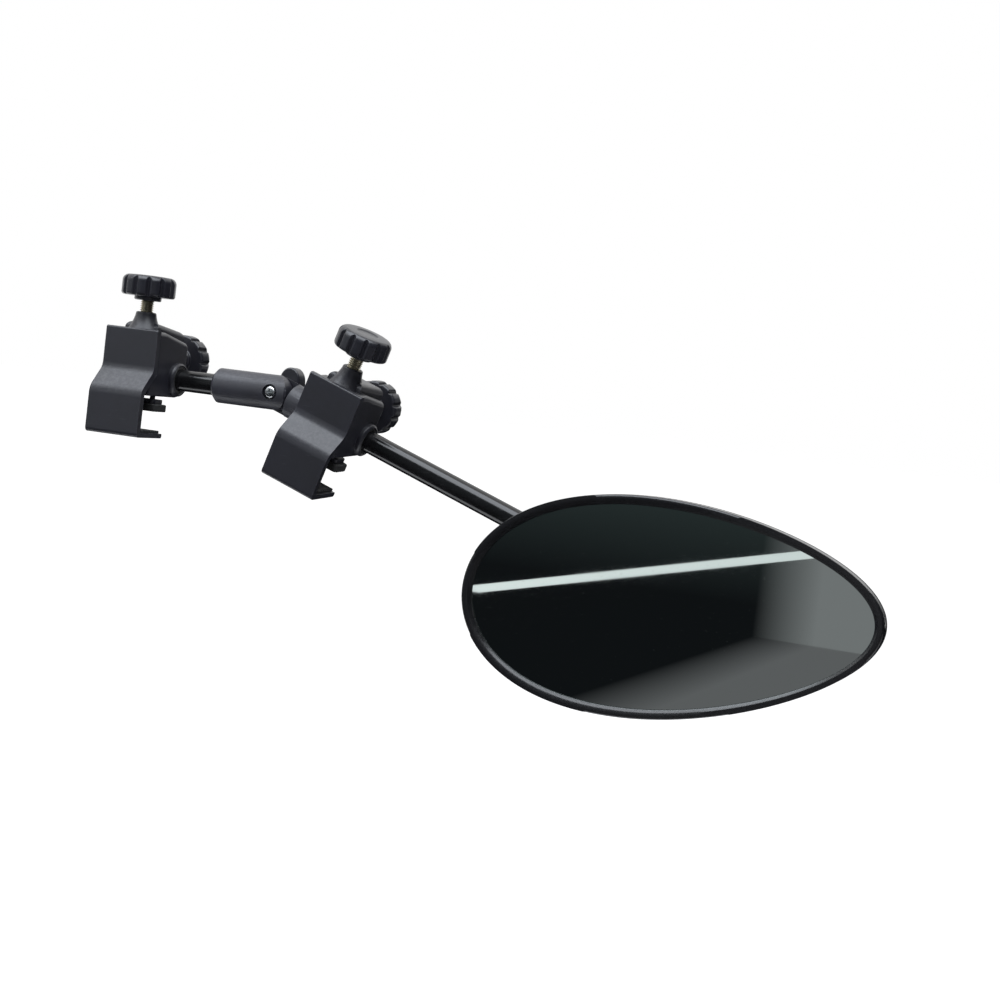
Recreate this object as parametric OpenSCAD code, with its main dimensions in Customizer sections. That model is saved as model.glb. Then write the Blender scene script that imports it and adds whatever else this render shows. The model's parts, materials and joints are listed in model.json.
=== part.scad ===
// Clip-on towing mirror: two screw clamps, a jointed round arm and an egg-shaped mirror head.
// Origin: centre of the inner clamp's hook pad face. +Z up, +X along the arm towards the head,
// -Y towards the driver, who looks into the glass. All sizes in millimetres.

/* [Arm] */
// Outer diameter of both arm tubes
tube_d = 16; // [14:0.5:18]
// Wall of the arm tubes
tube_wall = 1.5; // [1:0.25:2.5]
// Distance from the middle of the inner clamp to the hinge pivot
pivot_x = 106; // [95:1:130]
// Length of inner tube that stands out on the far side of the inner clamp
tube_tail = 32; // [28:1:60]
// Bend of the arm at the hinge, in degrees
hinge_bend = 19; // [-20:1:45]
// Outer diameter of the moulded hinge sleeve and knuckle
sleeve_d = 26; // [24:0.5:30]
// Length of the hinge sleeve up to the pivot
sleeve_len = 50; // [40:1:60]
// Distance from the pivot to the middle of the outer clamp
outer_at = 58; // [58:1:120]
// Distance from the pivot to the ball joint, along the outer tube
ball_at = 346.5; // [300:0.5:380]

/* [Clamp] */
// Width of the jaw plate
plate_w = 44; // [40:1:50]
// Thickness of the jaw plate
plate_t = 5; // [4:0.5:6]
// Height of the plate's upper section
plate_upper = 30.5; // [26:0.5:40]
// Height of the sloped joggle of the plate
joggle_h = 15.5; // [13:0.5:20]
// How far the joggle steps towards the driver
joggle_step = 14.5; // [10:0.5:18]
// Height of the plate's lower section above the hook pad face
plate_lower = 28; // [28:1:40]
// Width of the clamp body
body_w = 41; // [38:1:48]
// Depth of the clamp body, front to back
body_d = 41; // [41:1:50]
// How far the body's top drops towards its back
body_drop = 7; // [0:1:10]
// Half width of the hump along the body's top
hump_half = 14; // [10:0.5:15]
// How far the body's chin reaches forward under the joggle
chin = 9; // [4:0.5:12]
// Height of the conical bosses
boss_h = 12.6; // [8:0.2:16]
// Roll of the outer clamp about its tube, in degrees
outer_roll = 4; // [-20:1:20]

/* [Screws and knobs] */
// Thread diameter of the clamp and lock screws
screw_d = 10; // [8:1:10]
// Diameter of the fluted knobs
knob_d = 40; // [32:1:44]
// Thickness of the fluted knobs
knob_t = 15.5; // [12:0.5:18]
// Number of grooves round a knob
knob_flutes = 12; // [8:1:16]
// Bare thread between the top boss and its knob
screw_bare = 8.5; // [8.5:0.5:16]
// Bare thread between the back boss and its knob
lock_bare = 11; // [5:0.5:14]
// Opening of the jaw, hook pad to foot pad
jaw_gap = 14; // [12:0.5:14]

/* [Head] */
// Half the width of the mirror head
head_a = 143.5; // [110:0.5:160]
// Half the height of the mirror head
head_b = 72.5; // [60:0.5:85]
// Egg shape: how much fuller the end nearer the car is
egg = 0.19; // [0:0.01:0.25]
// Lean of the head's long axis, in degrees
head_lean = 4; // [-10:1:10]
// How far the head's middle lies above the ball
head_rise = 5; // [0:1:10]
// Width of the bezel round the glass
bezel_w = 6.5; // [5:0.5:10]
// Thickness of the mirror glass
glass_t = 3; // [2:0.5:4]
// Wall of the head shell
shell_t = 2.5; // [2:0.25:4]
// Radius of the ball
ball_r = 11; // [9:0.5:12]

/* [Hidden] */
$fn = 64;
eps = 0.01;          // overshoot of cutting shapes
run = 0.05;          // radial clearance of a running fit
plate_gap = 2;       // space between plate and body, bridged by a pad

// Clamp, side view: Y is the depth, Z the height above the hook pad face.
pad_t = 2;                                   // rubber of the hook
pad_w = 40;
pad_rise = 20;                               // how far the rubber stands up the plate
lip_t = 3.5;                                 // moulded hook lip under it
pad_half = 13.5;                             // half depth of the hook pad face
lower_back = -pad_half - pad_t;              // back of the plate's lower section
upper_back = lower_back + joggle_step;       // back of the plate's upper section
upper_front = upper_back - plate_t;
plate_top = plate_lower + joggle_h + plate_upper;
joggle_nip = plate_t * tan(atan(joggle_step / joggle_h) / 2);
lip_bottom = -pad_t - lip_t;
body_front = upper_back + plate_gap;
body_back = body_front + body_d;
body_top = plate_top - 1;
screw_r = screw_d / 2;
screw_slack = 0.3;                           // clearance of the studs in the body
insert_wall = 2;                             // round the clamp screw
lock_insert_wall = 1.5;                      // round the lock screw
screw_y = 11;                                // axis of the clamp screw
tube_r = tube_d / 2;
bush_wall = 2;
bush_r = tube_r + run + bush_wall;
bush_bore = bush_r + run;
housing_r = bush_bore + 3.45;                // round housing of the tube, in the body
collar_r = housing_r - 1;                    // collar at each side of the body
collar_out = 4;                              // how far the collar stands out
collar_half = body_w / 2 + collar_out;
collar_chamfer = 1.5;
tube_y = body_back - 12;                     // axis of the tube
tube_z = plate_lower + 11;
body_base = tube_z - housing_r;              // underside of the body
chin_top = plate_lower + joggle_h - joggle_nip - chin * joggle_h / joggle_step;
rib_r = bush_r + 0.8;                        // snap rib of the bush
rib_w = 2;
rib_x = body_w / 2 - 5;                      // place of the rib, clear of the lock shoe
lock_z = tube_z + bush_r + 4.4;              // axis of the lock screw
boss_top_r = screw_r + 2.5;
boss_top = plate_top + boss_h;
back_boss_end = body_back + 9.5;
hump_tilt = 7;                               // the hump falls towards the back
hump_y = screw_y - 4;                        // front of the hump
hump_len = body_back + 5 - hump_y;
hump_h = 10.5;
hump_edge = 5;                               // rounding of its upper edges
hump_top = plate_top + 5.5;
edge_r = 4;                                  // rounding of the body's corners
guide_x = 13;                                // guide pins of the foot
guide_r = 2;
guide_play = 0.1;
guide_len = 21;
fix_x = 14.5;                                // screws that hold the jaw plate
fix_z = lock_z + 6.6;
fix_r = 2;
fix_head_r = 3.5;
fix_head_t = 3;
fix_seat = body_front + 8;
spigot_r = 5;                                // locating bosses on the back of the plate
spigot_len = 5;
rest_half = fix_x - spigot_r - 0.5;           // half width of the pad behind the plate

// Foot of the clamp screw
foot_pad_t = 5.5;
foot_plate_t = 3.5;
foot_w = 43;
foot_depth = 18;
foot_z = jaw_gap + foot_pad_t;               // underside of the foot's plate
foot_top = foot_z + foot_plate_t;
stud_tip_r = 3;                              // turned-down end of the clamp screw
clip_r = 5;
clip_t = 1;
tip_z = foot_z - clip_t - 0.6;
knob_collar_h = 3;
knob_collar_r = 10;
knob_z = boss_top + screw_bare;              // underside of the top knob's collar
knob_y = back_boss_end + lock_bare;          // front of the back knob's collar
stud_in_knob = 9;
groove_r = 1.7;

// Lock screw
shoe_r = 6.5;
shoe_play = 0.1;
shoe_front = tube_y - 8;
shoe_back = tube_y + 4;
lock_travel = 2.5;
insert_len = 11;
insert_y = shoe_back + 4;                    // front of the lock screw's insert

// Arm
tube_in_r = tube_r - tube_wall;
sleeve_r = sleeve_d / 2;
lap = sleeve_r + 1.5;                        // half length of the lap joint
disc_t = 1;
bolt_r = 3;
bolt_head_r = 4.4;
bolt_head_t = 3.2;
bolt_seat = sleeve_r - 3;                    // depth of both spot faces from the axis
recess_r = 5.8;
washer_t = 1.2;
star_neck = 5;
star_neck_r = 7;
star_t = 12;
star_hub_r = 10;
star_lobe_at = 12;
star_lobe_r = 7.5;
pin_r = 2;
knuckle_len = 32;
knuckle_pin_at = knuckle_len - 7;
pin_at = 12 - sleeve_len;                    // cross pin of the hinge sleeve

// Ball joint and head. The head's own frame has its origin at the ball's centre.
neck_reach = 30;                             // tube axis to ball centre
neck_r = 6;
shank_r = 4;
fitting_r = tube_r + 3.5;
fitting_before = 30;
fitting_after = 13;
fitting_pin_at = 8 - fitting_before;
cup_t = 2;
cup_r = ball_r + run + cup_t;
socket_t = 2.5;
socket_r = cup_r + run + socket_t;
shell_back = 5;                              // flat back of the shell
shell_rim = -17;                             // joint of shell and bezel
bezel_front = -25;
glass_front = -21;
glass_inset = 4;
glass_back = glass_front + glass_t;
backing_t = 2;
shell_flat = 0.5;                            // size of the flat back, share of the outline
flange_r = 27;
flange_t = 3;
socket_back = shell_back - shell_t;          // face of the flange, against the shell
flange_screw_at = 21.5;
cup_lip = 4;                                 // how far the cup wraps past the ball's middle
mouth_r = 12;                                // hole in the back of the shell
egg_points = 96;
dome_steps = 8;
rim_h = 3;                                   // straight part of the shell next to the bezel
pillar_r = 3;
pillars = [for (side = [-1, 1], rise = [-1, 1]) [0.36 * side, 0.4 * rise], [-0.62, 0], [0.62, 0]];

module at_inner() { children(); }

module at_pivot() { translate([pivot_x, tube_y, tube_z]) children(); }

module at_outer_arm() { at_pivot() rotate([0, hinge_bend, 0]) children(); }

module at_outer() {
    at_outer_arm() translate([outer_at, 0, 0]) rotate([outer_roll, 0, 0])
        translate([0, -tube_y, -tube_z]) children();
}

module at_fitting() { at_outer_arm() translate([ball_at, 0, 0]) children(); }

module at_ball() {
    at_fitting() rotate([0, -hinge_bend, 0]) translate([0, -neck_reach, 0]) children();
}

// Round bar along +X or +Y from the point given
module bar_x(r, from, to) { translate([from, 0, 0]) rotate([0, 90, 0]) cylinder(r = r, h = to - from); }

module bar_y(r, from, to) { translate([0, from, 0]) rotate([-90, 0, 0]) cylinder(r = r, h = to - from); }

// Plate in the YZ plane, given a width along X
module side_extrude(width) {
    rotate([90, 0, 90]) translate([0, 0, -width / 2]) linear_extrude(width) children();
}

module round_rect(width, height, r) {
    translate([r, 0]) square([width - 2 * r, height]);
    translate([0, r]) square([width, height - 2 * r]);
    for (x = [r, width - r], y = [r, height - r]) translate([x, y]) circle(r);
}

// ---- Clamp ----

module body_side() {
    polygon([[body_front - chin, body_base], [body_front - chin, chin_top],
        [body_front, plate_lower + joggle_h - joggle_nip], [body_front, body_top], [screw_y, body_top],
        [body_back, plate_top - body_drop], [body_back, tube_z], [tube_y, body_base]]);
    translate([tube_y, tube_z]) circle(housing_r);
}

module body_block() {
    intersection() {
        side_extrude(body_w) body_side();
        translate([-body_w / 2, body_front - chin, body_base - 1])
            linear_extrude(plate_top) round_rect(body_w, chin + body_d + edge_r, edge_r / 2);
        translate([0, body_back + housing_r, 0]) rotate([90, 0, 0]) linear_extrude(body_d + 2 * housing_r)
            translate([-body_w / 2, 0]) round_rect(body_w, body_top + 0.5, edge_r);
    }
}

module collar() {
    translate([0, tube_y, tube_z]) {
        bar_x(collar_r, collar_chamfer - collar_half, collar_half - collar_chamfer);
        for (turn = [0, 180]) rotate([0, 0, turn])
            translate([collar_half - collar_chamfer, 0, 0]) rotate([0, 90, 0])
                cylinder(r1 = collar_r, r2 = collar_r - collar_chamfer, h = collar_chamfer);
    }
}

module clamp_body() color("#26282a") difference() {
    union() {
        body_block();
        collar();
        translate([0, hump_y, hump_top]) rotate([-90 - hump_tilt, 0, 0]) linear_extrude(hump_len)
            translate([-hump_half, 0]) round_rect(2 * hump_half, hump_h, hump_edge);
        translate([0, screw_y, body_top - 4])
            cylinder(r1 = boss_top_r + 5.5, r2 = boss_top_r, h = boss_top - body_top + 4);
        translate([0, body_back - 2, lock_z]) rotate([-90, 0, 0])
            cylinder(r1 = boss_top_r + 4, r2 = boss_top_r, h = back_boss_end - body_back + 2);
        translate([-rest_half, upper_back, body_top - 26]) cube([2 * rest_half, plate_gap + 1, 22]);
    }
    translate([0, tube_y, tube_z]) {
        bar_x(bush_bore, -collar_half - 1, collar_half + 1);
        bar_x(rib_r + run, rib_x - rib_w / 2 - 0.1, rib_x + rib_w / 2 + 0.1);
    }
    // clamp screw passage and its moulded-in insert
    translate([0, screw_y, 0]) {
        cylinder(r = screw_r + screw_slack, h = boss_top + 1);
        translate([0, 0, body_top - insert_len]) cylinder(r = screw_r + insert_wall, h = insert_len);
    }
    // lock screw passage, insert and shoe pocket
    translate([0, 0, lock_z]) {
        bar_y(screw_r + screw_slack, shoe_back, back_boss_end + 1);
        bar_y(screw_r + lock_insert_wall, insert_y, insert_y + insert_len);
        bar_y(shoe_r + shoe_play, shoe_front - 2, shoe_back + lock_travel + 0.5);
    }
    for (side = [-1, 1]) {
        translate([side * guide_x, screw_y, body_base - 3]) cylinder(r = guide_r + guide_play, h = guide_len);
        translate([side * fix_x, 0, fix_z]) {
            bar_y(spigot_r + run, body_front - 1, body_front + spigot_len);
            bar_y(fix_r, body_front, fix_seat + 1);
            bar_y(fix_head_r + 0.3, fix_seat, body_back + 2);
        }
    }
}

module plate_side() {
    polygon([[upper_front, plate_top], [upper_front, plate_lower + joggle_h],
        [upper_front - joggle_step, plate_lower], [upper_front - joggle_step, lip_bottom],
        [pad_half + 1, lip_bottom], [pad_half + 1, -pad_t], [lower_back, -pad_t],
        [lower_back, plate_lower - joggle_nip], [upper_back, plate_lower + joggle_h - joggle_nip],
        [upper_back, plate_top]]);
}

module jaw_plate() color("#2b2d30") difference() {
    union() {
        intersection() {
            side_extrude(plate_w) plate_side();
            translate([0, pad_half + 2, lip_bottom]) rotate([90, 0, 0]) linear_extrude(60)
                translate([-plate_w / 2, 0]) round_rect(plate_w, plate_top - lip_bottom, 3);
        }
        for (side = [-1, 1]) translate([side * fix_x, 0, fix_z])
            bar_y(spigot_r, upper_back - 1, body_front + spigot_len);
    }
    for (side = [-1, 1]) translate([side * fix_x, 0, fix_z])
        bar_y(fix_r, upper_front + 2, body_front + spigot_len + 1);
}

module hook_pad() color("#1b1b1c") {
    translate([-pad_w / 2, lower_back, -pad_t]) cube([pad_w, pad_t, pad_rise + pad_t]);
    translate([-pad_w / 2, lower_back + eps, -pad_t]) cube([pad_w, pad_half - lower_back - eps, pad_t]);
}

module jaw_screws() color("#b9b6aa") for (side = [-1, 1]) translate([side * fix_x, 0, fix_z]) difference() {
    union() {
        bar_y(fix_r, upper_front + 2.5, fix_seat + 1);
        bar_y(fix_head_r, fix_seat, fix_seat + fix_head_t);
    }
    translate([-3, fix_seat + 1.5, -0.5]) cube([6, 3, 1]);
    translate([-0.5, fix_seat + 1.5, -3]) cube([1, 3, 6]);
}

module insert(r) difference() {
    cylinder(r = r, h = insert_len);
    translate([0, 0, -1]) cylinder(r = screw_r + run, h = insert_len + 2);
}

module thread_inserts() color("#b08d4a") {
    translate([0, screw_y, body_top - insert_len]) insert(screw_r + insert_wall);
    translate([0, insert_y, lock_z]) rotate([-90, 0, 0]) insert(screw_r + lock_insert_wall);
}

module foot_carrier() color("#2b2d30") difference() {
    union() {
        translate([-foot_w / 2 + 3, screw_y - foot_depth / 2 + 1.5, foot_z])
            linear_extrude(foot_plate_t) round_rect(foot_w - 6, foot_depth - 3, 3);
        for (side = [-1, 1]) translate([side * guide_x, screw_y, foot_z]) cylinder(r = guide_r, h = guide_len);
    }
    translate([0, screw_y, foot_z - 1]) cylinder(r = stud_tip_r + run, h = foot_plate_t + 2);
}

module foot_pad() color("#1b1b1c") difference() {
    translate([-foot_w / 2, screw_y - foot_depth / 2, jaw_gap])
        linear_extrude(foot_pad_t) round_rect(foot_w, foot_depth, 3.5);
    translate([0, screw_y, foot_z - 3]) cylinder(r = clip_r + 1, h = 4);
}

module foot_clip() color("#8d8f90") translate([0, screw_y, foot_z - clip_t - 0.1]) difference() {
    cylinder(r = clip_r, h = clip_t);
    translate([0, 0, -1]) cylinder(r = stud_tip_r, h = clip_t + 2);
}

module clamp_stud() color("#b7b196") translate([0, screw_y, 0]) {
    translate([0, 0, tip_z]) cylinder(r = stud_tip_r, h = foot_top - tip_z + eps);
    translate([0, 0, foot_top]) cylinder(r = screw_r, h = knob_z + stud_in_knob - foot_top);
}

// Fluted knob standing on its collar at the origin
module fluted_knob() color("#222426") difference() {
    union() {
        cylinder(r = knob_collar_r, h = knob_collar_h + 1);
        translate([0, 0, knob_collar_h]) intersection() {
            cylinder(r = knob_d / 2, h = knob_t);
            translate([0, 0, knob_t - 1.3 * knob_d]) sphere(r = 1.3 * knob_d);
            cylinder(r1 = knob_d / 2 + knob_t - 3, r2 = knob_d / 2 - 3, h = knob_t);
        }
    }
    for (i = [0 : knob_flutes - 1]) rotate([0, 0, i * 360 / knob_flutes])
        translate([knob_d / 2 + 0.2, 0, 0]) cylinder(r = groove_r, h = knob_t + knob_collar_h + 1);
    translate([0, 0, -1]) cylinder(r = screw_r, h = stud_in_knob + 1);
}

module clamp_knob() { translate([0, screw_y, knob_z]) fluted_knob(); }

module lock_shoe() color("#3a3c3e") difference() {
    translate([0, 0, lock_z]) bar_y(shoe_r, shoe_front, shoe_back);
    for (back_off = [0, lock_travel + 0.5])
        translate([0, tube_y - back_off, tube_z]) bar_x(bush_r + 0.1, -10, 10);
    translate([-10, tube_y - lock_travel - 0.5, tube_z]) cube([20, lock_travel + 0.5, bush_r + 0.1]);
}

module lock_stud() color("#b7b196") translate([0, 0, lock_z])
    bar_y(screw_r, shoe_back, knob_y + stud_in_knob);

module lock_knob() { translate([0, knob_y, lock_z]) rotate([-90, 0, 0]) fluted_knob(); }

module tube_bush() color("#151617") translate([0, tube_y, tube_z]) difference() {
    union() {
        bar_x(bush_r, 0.5 - collar_half, collar_half - 0.5);
        bar_x(rib_r, rib_x - rib_w / 2, rib_x + rib_w / 2);
    }
    bar_x(tube_r + run, -collar_half, collar_half);
    translate([-collar_half, -0.75, -bush_r - 2]) cube([2 * collar_half, 1.5, bush_r]);
}

// ---- Arm ----

module inner_tube() color("#101112") at_pivot() difference() {
    bar_x(tube_r, -pivot_x - tube_tail, -lap - 6);
    bar_x(tube_in_r, -pivot_x - tube_tail - 1, -lap - 5);
    translate([pin_at, 0, 0]) bar_y(pin_r, -sleeve_r, sleeve_r);
}

module inner_tube_plug() color("#1b1b1c") at_pivot() translate([-pivot_x - tube_tail, 0, 0]) {
    bar_x(tube_r, -2, 0);
    bar_x(tube_in_r, -eps, 12);
}

// Half of the lap joint: a round cheek about the pivot, on the side given
module cheek(side) {
    intersection() {
        bar_x(sleeve_r, -lap, lap);
        union() {
            bar_y(sleeve_r, -sleeve_r, sleeve_r);
            translate([-side * lap / 2, 0, 0]) cube([lap, 2 * sleeve_r, 2 * sleeve_r], center = true);
        }
        translate([0, -side * (sleeve_r + disc_t / 2), 0]) cube([3 * lap, 2 * sleeve_r, 3 * lap], center = true);
    }
}

module hinge_sleeve() color("#2c2f33") at_pivot() difference() {
    union() {
        bar_x(sleeve_r, 3 - sleeve_len, -lap);
        translate([-sleeve_len, 0, 0]) rotate([0, 90, 0]) cylinder(r1 = sleeve_r - 3, r2 = sleeve_r, h = 3);
        cheek(1);
    }
    bar_x(tube_r, -sleeve_len - 1, -lap - 6);
    bar_y(bolt_r, -sleeve_r - 1, 1);
    bar_y(recess_r, -sleeve_r - 1, -bolt_seat);
    translate([pin_at, 0, 0]) bar_y(pin_r, -1, sleeve_r + 1);
}

module sleeve_pin() color("#8d8f90") at_pivot() translate([pin_at, 0, 0]) bar_y(pin_r, 0.5 - tube_r, sleeve_r - 0.5);

module hinge_bolt() color("#c9cccf") at_pivot() difference() {
    union() {
        bar_y(bolt_head_r, -bolt_seat - bolt_head_t, -bolt_seat);
        bar_y(bolt_r, -bolt_seat - eps, bolt_seat + washer_t + 0.1 + star_neck + 8);
    }
    translate([0, -bolt_seat - bolt_head_t, 0]) for (turn = [0, 90]) rotate([0, turn, 0])
        cube([1.2, 3, 5.4], center = true);
}

module hinge_friction_disc() color("#6f6a5c") at_pivot() difference() {
    bar_y(sleeve_r - 2, -disc_t / 2, disc_t / 2);
    bar_y(bolt_r, -disc_t, disc_t);
}

module outer_knuckle() color("#2c2f33") at_outer_arm() difference() {
    union() {
        bar_x(sleeve_r, lap, knuckle_len - 2);
        translate([knuckle_len - 2, 0, 0]) rotate([0, 90, 0]) cylinder(r1 = sleeve_r, r2 = sleeve_r - 2, h = 2);
        rotate([0, 0, 180]) cheek(1);
    }
    bar_x(tube_r, lap + 2, knuckle_len + 1);
    bar_y(bolt_r + run, 0, sleeve_r + 1);
    bar_y(sleeve_r, bolt_seat, sleeve_r + 1);
    translate([knuckle_pin_at, 0, 0]) bar_y(pin_r, -1, sleeve_r + 1);
}

module knuckle_pin() color("#8d8f90") at_outer_arm()
    translate([knuckle_pin_at, 0, 0]) bar_y(pin_r, 0.5 - tube_r, sleeve_r - 0.5);

module hinge_knob_washer() color("#c9cccf") at_pivot() difference() {
    bar_y(7, bolt_seat, bolt_seat + washer_t);
    bar_y(bolt_r + run, bolt_seat - 1, bolt_seat + washer_t + 1);
}

// Three-lobed knob on the back of the hinge, one lobe up
module hinge_star_knob() color("#1d1f20") at_pivot() translate([0, bolt_seat + washer_t, 0]) difference() {
    union() {
        bar_y(star_neck_r, 0, star_neck + 1);
        rotate([-90, 0, 0]) translate([0, 0, star_neck]) linear_extrude(star_t) union() {
            circle(star_hub_r);
            for (turn = [0, 120, 240]) rotate(turn) translate([0, -star_lobe_at]) circle(star_lobe_r);
        }
    }
    bar_y(bolt_r + run, -1, star_neck + 8.5);
}

module outer_tube() color("#101112") at_outer_arm() difference() {
    bar_x(tube_r, lap + 2, ball_at - fitting_after);
    bar_x(tube_in_r, lap + 1, ball_at);
    for (x = [knuckle_pin_at, ball_at + fitting_pin_at]) translate([x, 0, 0]) bar_y(pin_r, -sleeve_r, sleeve_r);
}

// ---- Ball joint ----

module ball_fitting() color("#2c2f33") at_fitting() difference() {
    union() {
        bar_x(fitting_r, 2 - fitting_before, fitting_after - 2);
        translate([-fitting_before, 0, 0]) rotate([0, 90, 0]) cylinder(r1 = fitting_r - 2, r2 = fitting_r, h = 2);
        translate([fitting_after - 2, 0, 0]) rotate([0, 90, 0]) cylinder(r1 = fitting_r, r2 = fitting_r - 2, h = 2);
    }
    bar_x(tube_r, -fitting_before - 1, -fitting_after);
    bar_y(shank_r + run, -fitting_r - 1, fitting_r + 1);
    bar_y(9, fitting_r - 1, fitting_r + 1);
    bar_y(neck_r + 2, -fitting_r - 1, -fitting_r + 1);
    translate([fitting_pin_at, 0, 0]) bar_y(pin_r, -1, fitting_r + 1);
}

module fitting_pin() color("#8d8f90") at_fitting()
    translate([fitting_pin_at, 0, 0]) bar_y(pin_r, 0.5 - tube_r, fitting_r - 0.5);

module ball_stud() color("#8f9295") at_ball() {
    sphere(r = ball_r);
    bar_y(neck_r, 0, neck_reach - fitting_r + 1);
    bar_y(shank_r, neck_reach - fitting_r, neck_reach + fitting_r + 8);
}

module ball_stud_washer() color("#c9cccf") at_ball() difference() {
    bar_y(8, neck_reach + fitting_r - 1, neck_reach + fitting_r + 0.4);
    bar_y(shank_r, neck_reach, neck_reach + fitting_r + 1);
}

module ball_stud_nut() color("#c9cccf") at_ball() difference() {
    translate([0, neck_reach + fitting_r + 0.4, 0]) rotate([-90, 0, 0]) cylinder(r = 7.5, h = 6.5, $fn = 6);
    bar_y(shank_r, neck_reach, neck_reach + fitting_r + 10);
}

// Solid of revolution about the Y axis, from a profile drawn in X (radius) and Y
module spin_y() { rotate([-90, 0, 0]) rotate_extrude() children(); }

module ball_cup() color("#d8d4c8") at_ball() difference() {
    spin_y() difference() {
        intersection() {
            circle(cup_r);
            translate([0, -cup_r]) square([cup_r, cup_r + cup_lip]);
        }
        circle(ball_r + run);
    }
    for (turn = [0, 60, 120]) rotate([0, turn, 0]) translate([0, cup_lip, 0]) cube([1.2, 10, 3 * cup_r], center = true);
}

// ---- Head, drawn about the ball's centre ----

module socket_screw_places() {
    for (turn = [45 : 90 : 315]) rotate([0, turn, 0]) translate([flange_screw_at, 0, 0]) children();
}

module ball_socket() color("#2c2f33") at_ball() difference() {
    union() {
        spin_y() difference() {
            intersection() {
                union() {
                    circle(socket_r);
                    translate([0, socket_back - flange_t]) square([flange_r, flange_t]);
                }
                translate([0, -socket_r]) square([flange_r, socket_r + socket_back]);
            }
            circle(cup_r + run);
        }
        socket_screw_places() bar_y(4.5, socket_back - flange_t - 5, socket_back);
    }
    socket_screw_places() bar_y(1.6, socket_back - flange_t - 4, shell_back);
}

module socket_screws() color("#c9cccf") at_ball() socket_screw_places() difference() {
    union() {
        bar_y(1.6, socket_back - flange_t - 3.5, shell_back + 1);
        bar_y(3.6, shell_back, shell_back + 2.2);
    }
    translate([0, shell_back + 2.2, 0]) for (turn = [0, 90]) rotate([0, turn, 0]) cube([0.9, 2.4, 4.4], center = true);
}

// Egg outline in the head's front view, drawn in by the inset and scaled about its middle
module egg_outline(inset, size = 1) {
    translate([0, head_rise]) rotate(head_lean) polygon([for (i = [0 : egg_points - 1])
        let (t = i * 360 / egg_points)
        size * [(head_a - inset) * cos(t), (head_b - inset) * sin(t) * (1 - egg * cos(t))]]);
}

module egg_slab(front, back, inset, size = 1) {
    translate([0, back, 0]) rotate([90, 0, 0]) linear_extrude(back - front) egg_outline(inset, size);
}

// Domed shell form: slices follow a quarter of a rounded curve from the rim to the flat back
module dome(inset, back, front = shell_rim) {
    depth = back - shell_rim - rim_h;
    hull() {
        egg_slab(front, shell_rim + rim_h, inset);
        for (i = [1 : dome_steps]) let (t = 90 * i / dome_steps)
            egg_slab(back - depth * (1 - sin(t)) - 0.1, back - depth * (1 - sin(t)), inset,
                shell_flat + (1 - shell_flat) * cos(t));
    }
}

module head_shell() color("#232527") at_ball() {
    difference() {
        dome(0, shell_back);
        dome(shell_t, shell_back - shell_t, shell_rim - 1);
        bar_y(mouth_r, -1, shell_back + 1);
        sphere(r = cup_r + 3 * run);
        socket_screw_places() bar_y(1.6, 0, shell_back + 1);
    }
    // pillars that press the backing plate and the glass into the bezel
    intersection() {
        dome(1, shell_back - 1);
        for (place = pillars) translate([place[0] * head_a, 0, head_rise + place[1] * head_b])
            bar_y(pillar_r, glass_back + backing_t, shell_back);
    }
}

module head_bezel() color("#1f2123") at_ball() difference() {
    union() {
        egg_slab(bezel_front, shell_rim, 0);
        egg_slab(shell_rim - eps, shell_rim + 2, shell_t + 0.1);
    }
    egg_slab(bezel_front - 1, glass_front, bezel_w);
    egg_slab(glass_front - eps, shell_rim + 3, glass_inset);
}

module mirror_glass() color("#9fb0b4") at_ball() egg_slab(glass_front, glass_back, glass_inset);

module glass_backing() color("#3a3c3e") at_ball() egg_slab(glass_back, glass_back + backing_t, glass_inset);

at_inner() clamp_body();  // inner_clamp_body
at_inner() jaw_plate();  // inner_jaw_plate
at_inner() hook_pad();  // inner_hook_pad
at_inner() jaw_screws();  // inner_jaw_screws
at_inner() thread_inserts();  // inner_thread_inserts
at_inner() foot_carrier();  // inner_foot_carrier
at_inner() foot_pad();  // inner_foot_pad
at_inner() foot_clip();  // inner_foot_clip
at_inner() clamp_stud();  // inner_clamp_stud
at_inner() clamp_knob();  // inner_clamp_knob
at_inner() lock_shoe();  // inner_lock_shoe
at_inner() lock_stud();  // inner_lock_stud
at_inner() lock_knob();  // inner_lock_knob
at_inner() tube_bush();  // inner_tube_bush
inner_tube();
inner_tube_plug();
hinge_sleeve();
sleeve_pin();
hinge_bolt();
hinge_friction_disc();
hinge_knob_washer();
hinge_star_knob();
outer_knuckle();
knuckle_pin();
outer_tube();
at_outer() clamp_body();  // outer_clamp_body
at_outer() jaw_plate();  // outer_jaw_plate
at_outer() hook_pad();  // outer_hook_pad
at_outer() jaw_screws();  // outer_jaw_screws
at_outer() thread_inserts();  // outer_thread_inserts
at_outer() foot_carrier();  // outer_foot_carrier
at_outer() foot_pad();  // outer_foot_pad
at_outer() foot_clip();  // outer_foot_clip
at_outer() clamp_stud();  // outer_clamp_stud
at_outer() clamp_knob();  // outer_clamp_knob
at_outer() lock_shoe();  // outer_lock_shoe
at_outer() lock_stud();  // outer_lock_stud
at_outer() lock_knob();  // outer_lock_knob
at_outer() tube_bush();  // outer_tube_bush
ball_fitting();
fitting_pin();
ball_stud();
ball_stud_washer();
ball_stud_nut();
ball_cup();
ball_socket();
socket_screws();
head_shell();
head_bezel();
mirror_glass();
glass_backing();
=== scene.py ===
"""Towing mirror: two screw clamps on a jointed round arm, and an egg-shaped mirror head.

Shapes are drawn in millimetres in the frame of the sub-assembly they belong to, with X along the
arm, Y away from the driver and Z up. finished() turns them into metres and puts them in place.
"""
import json
import math

import bmesh
import bpy
from mathutils import Matrix, Vector


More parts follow.
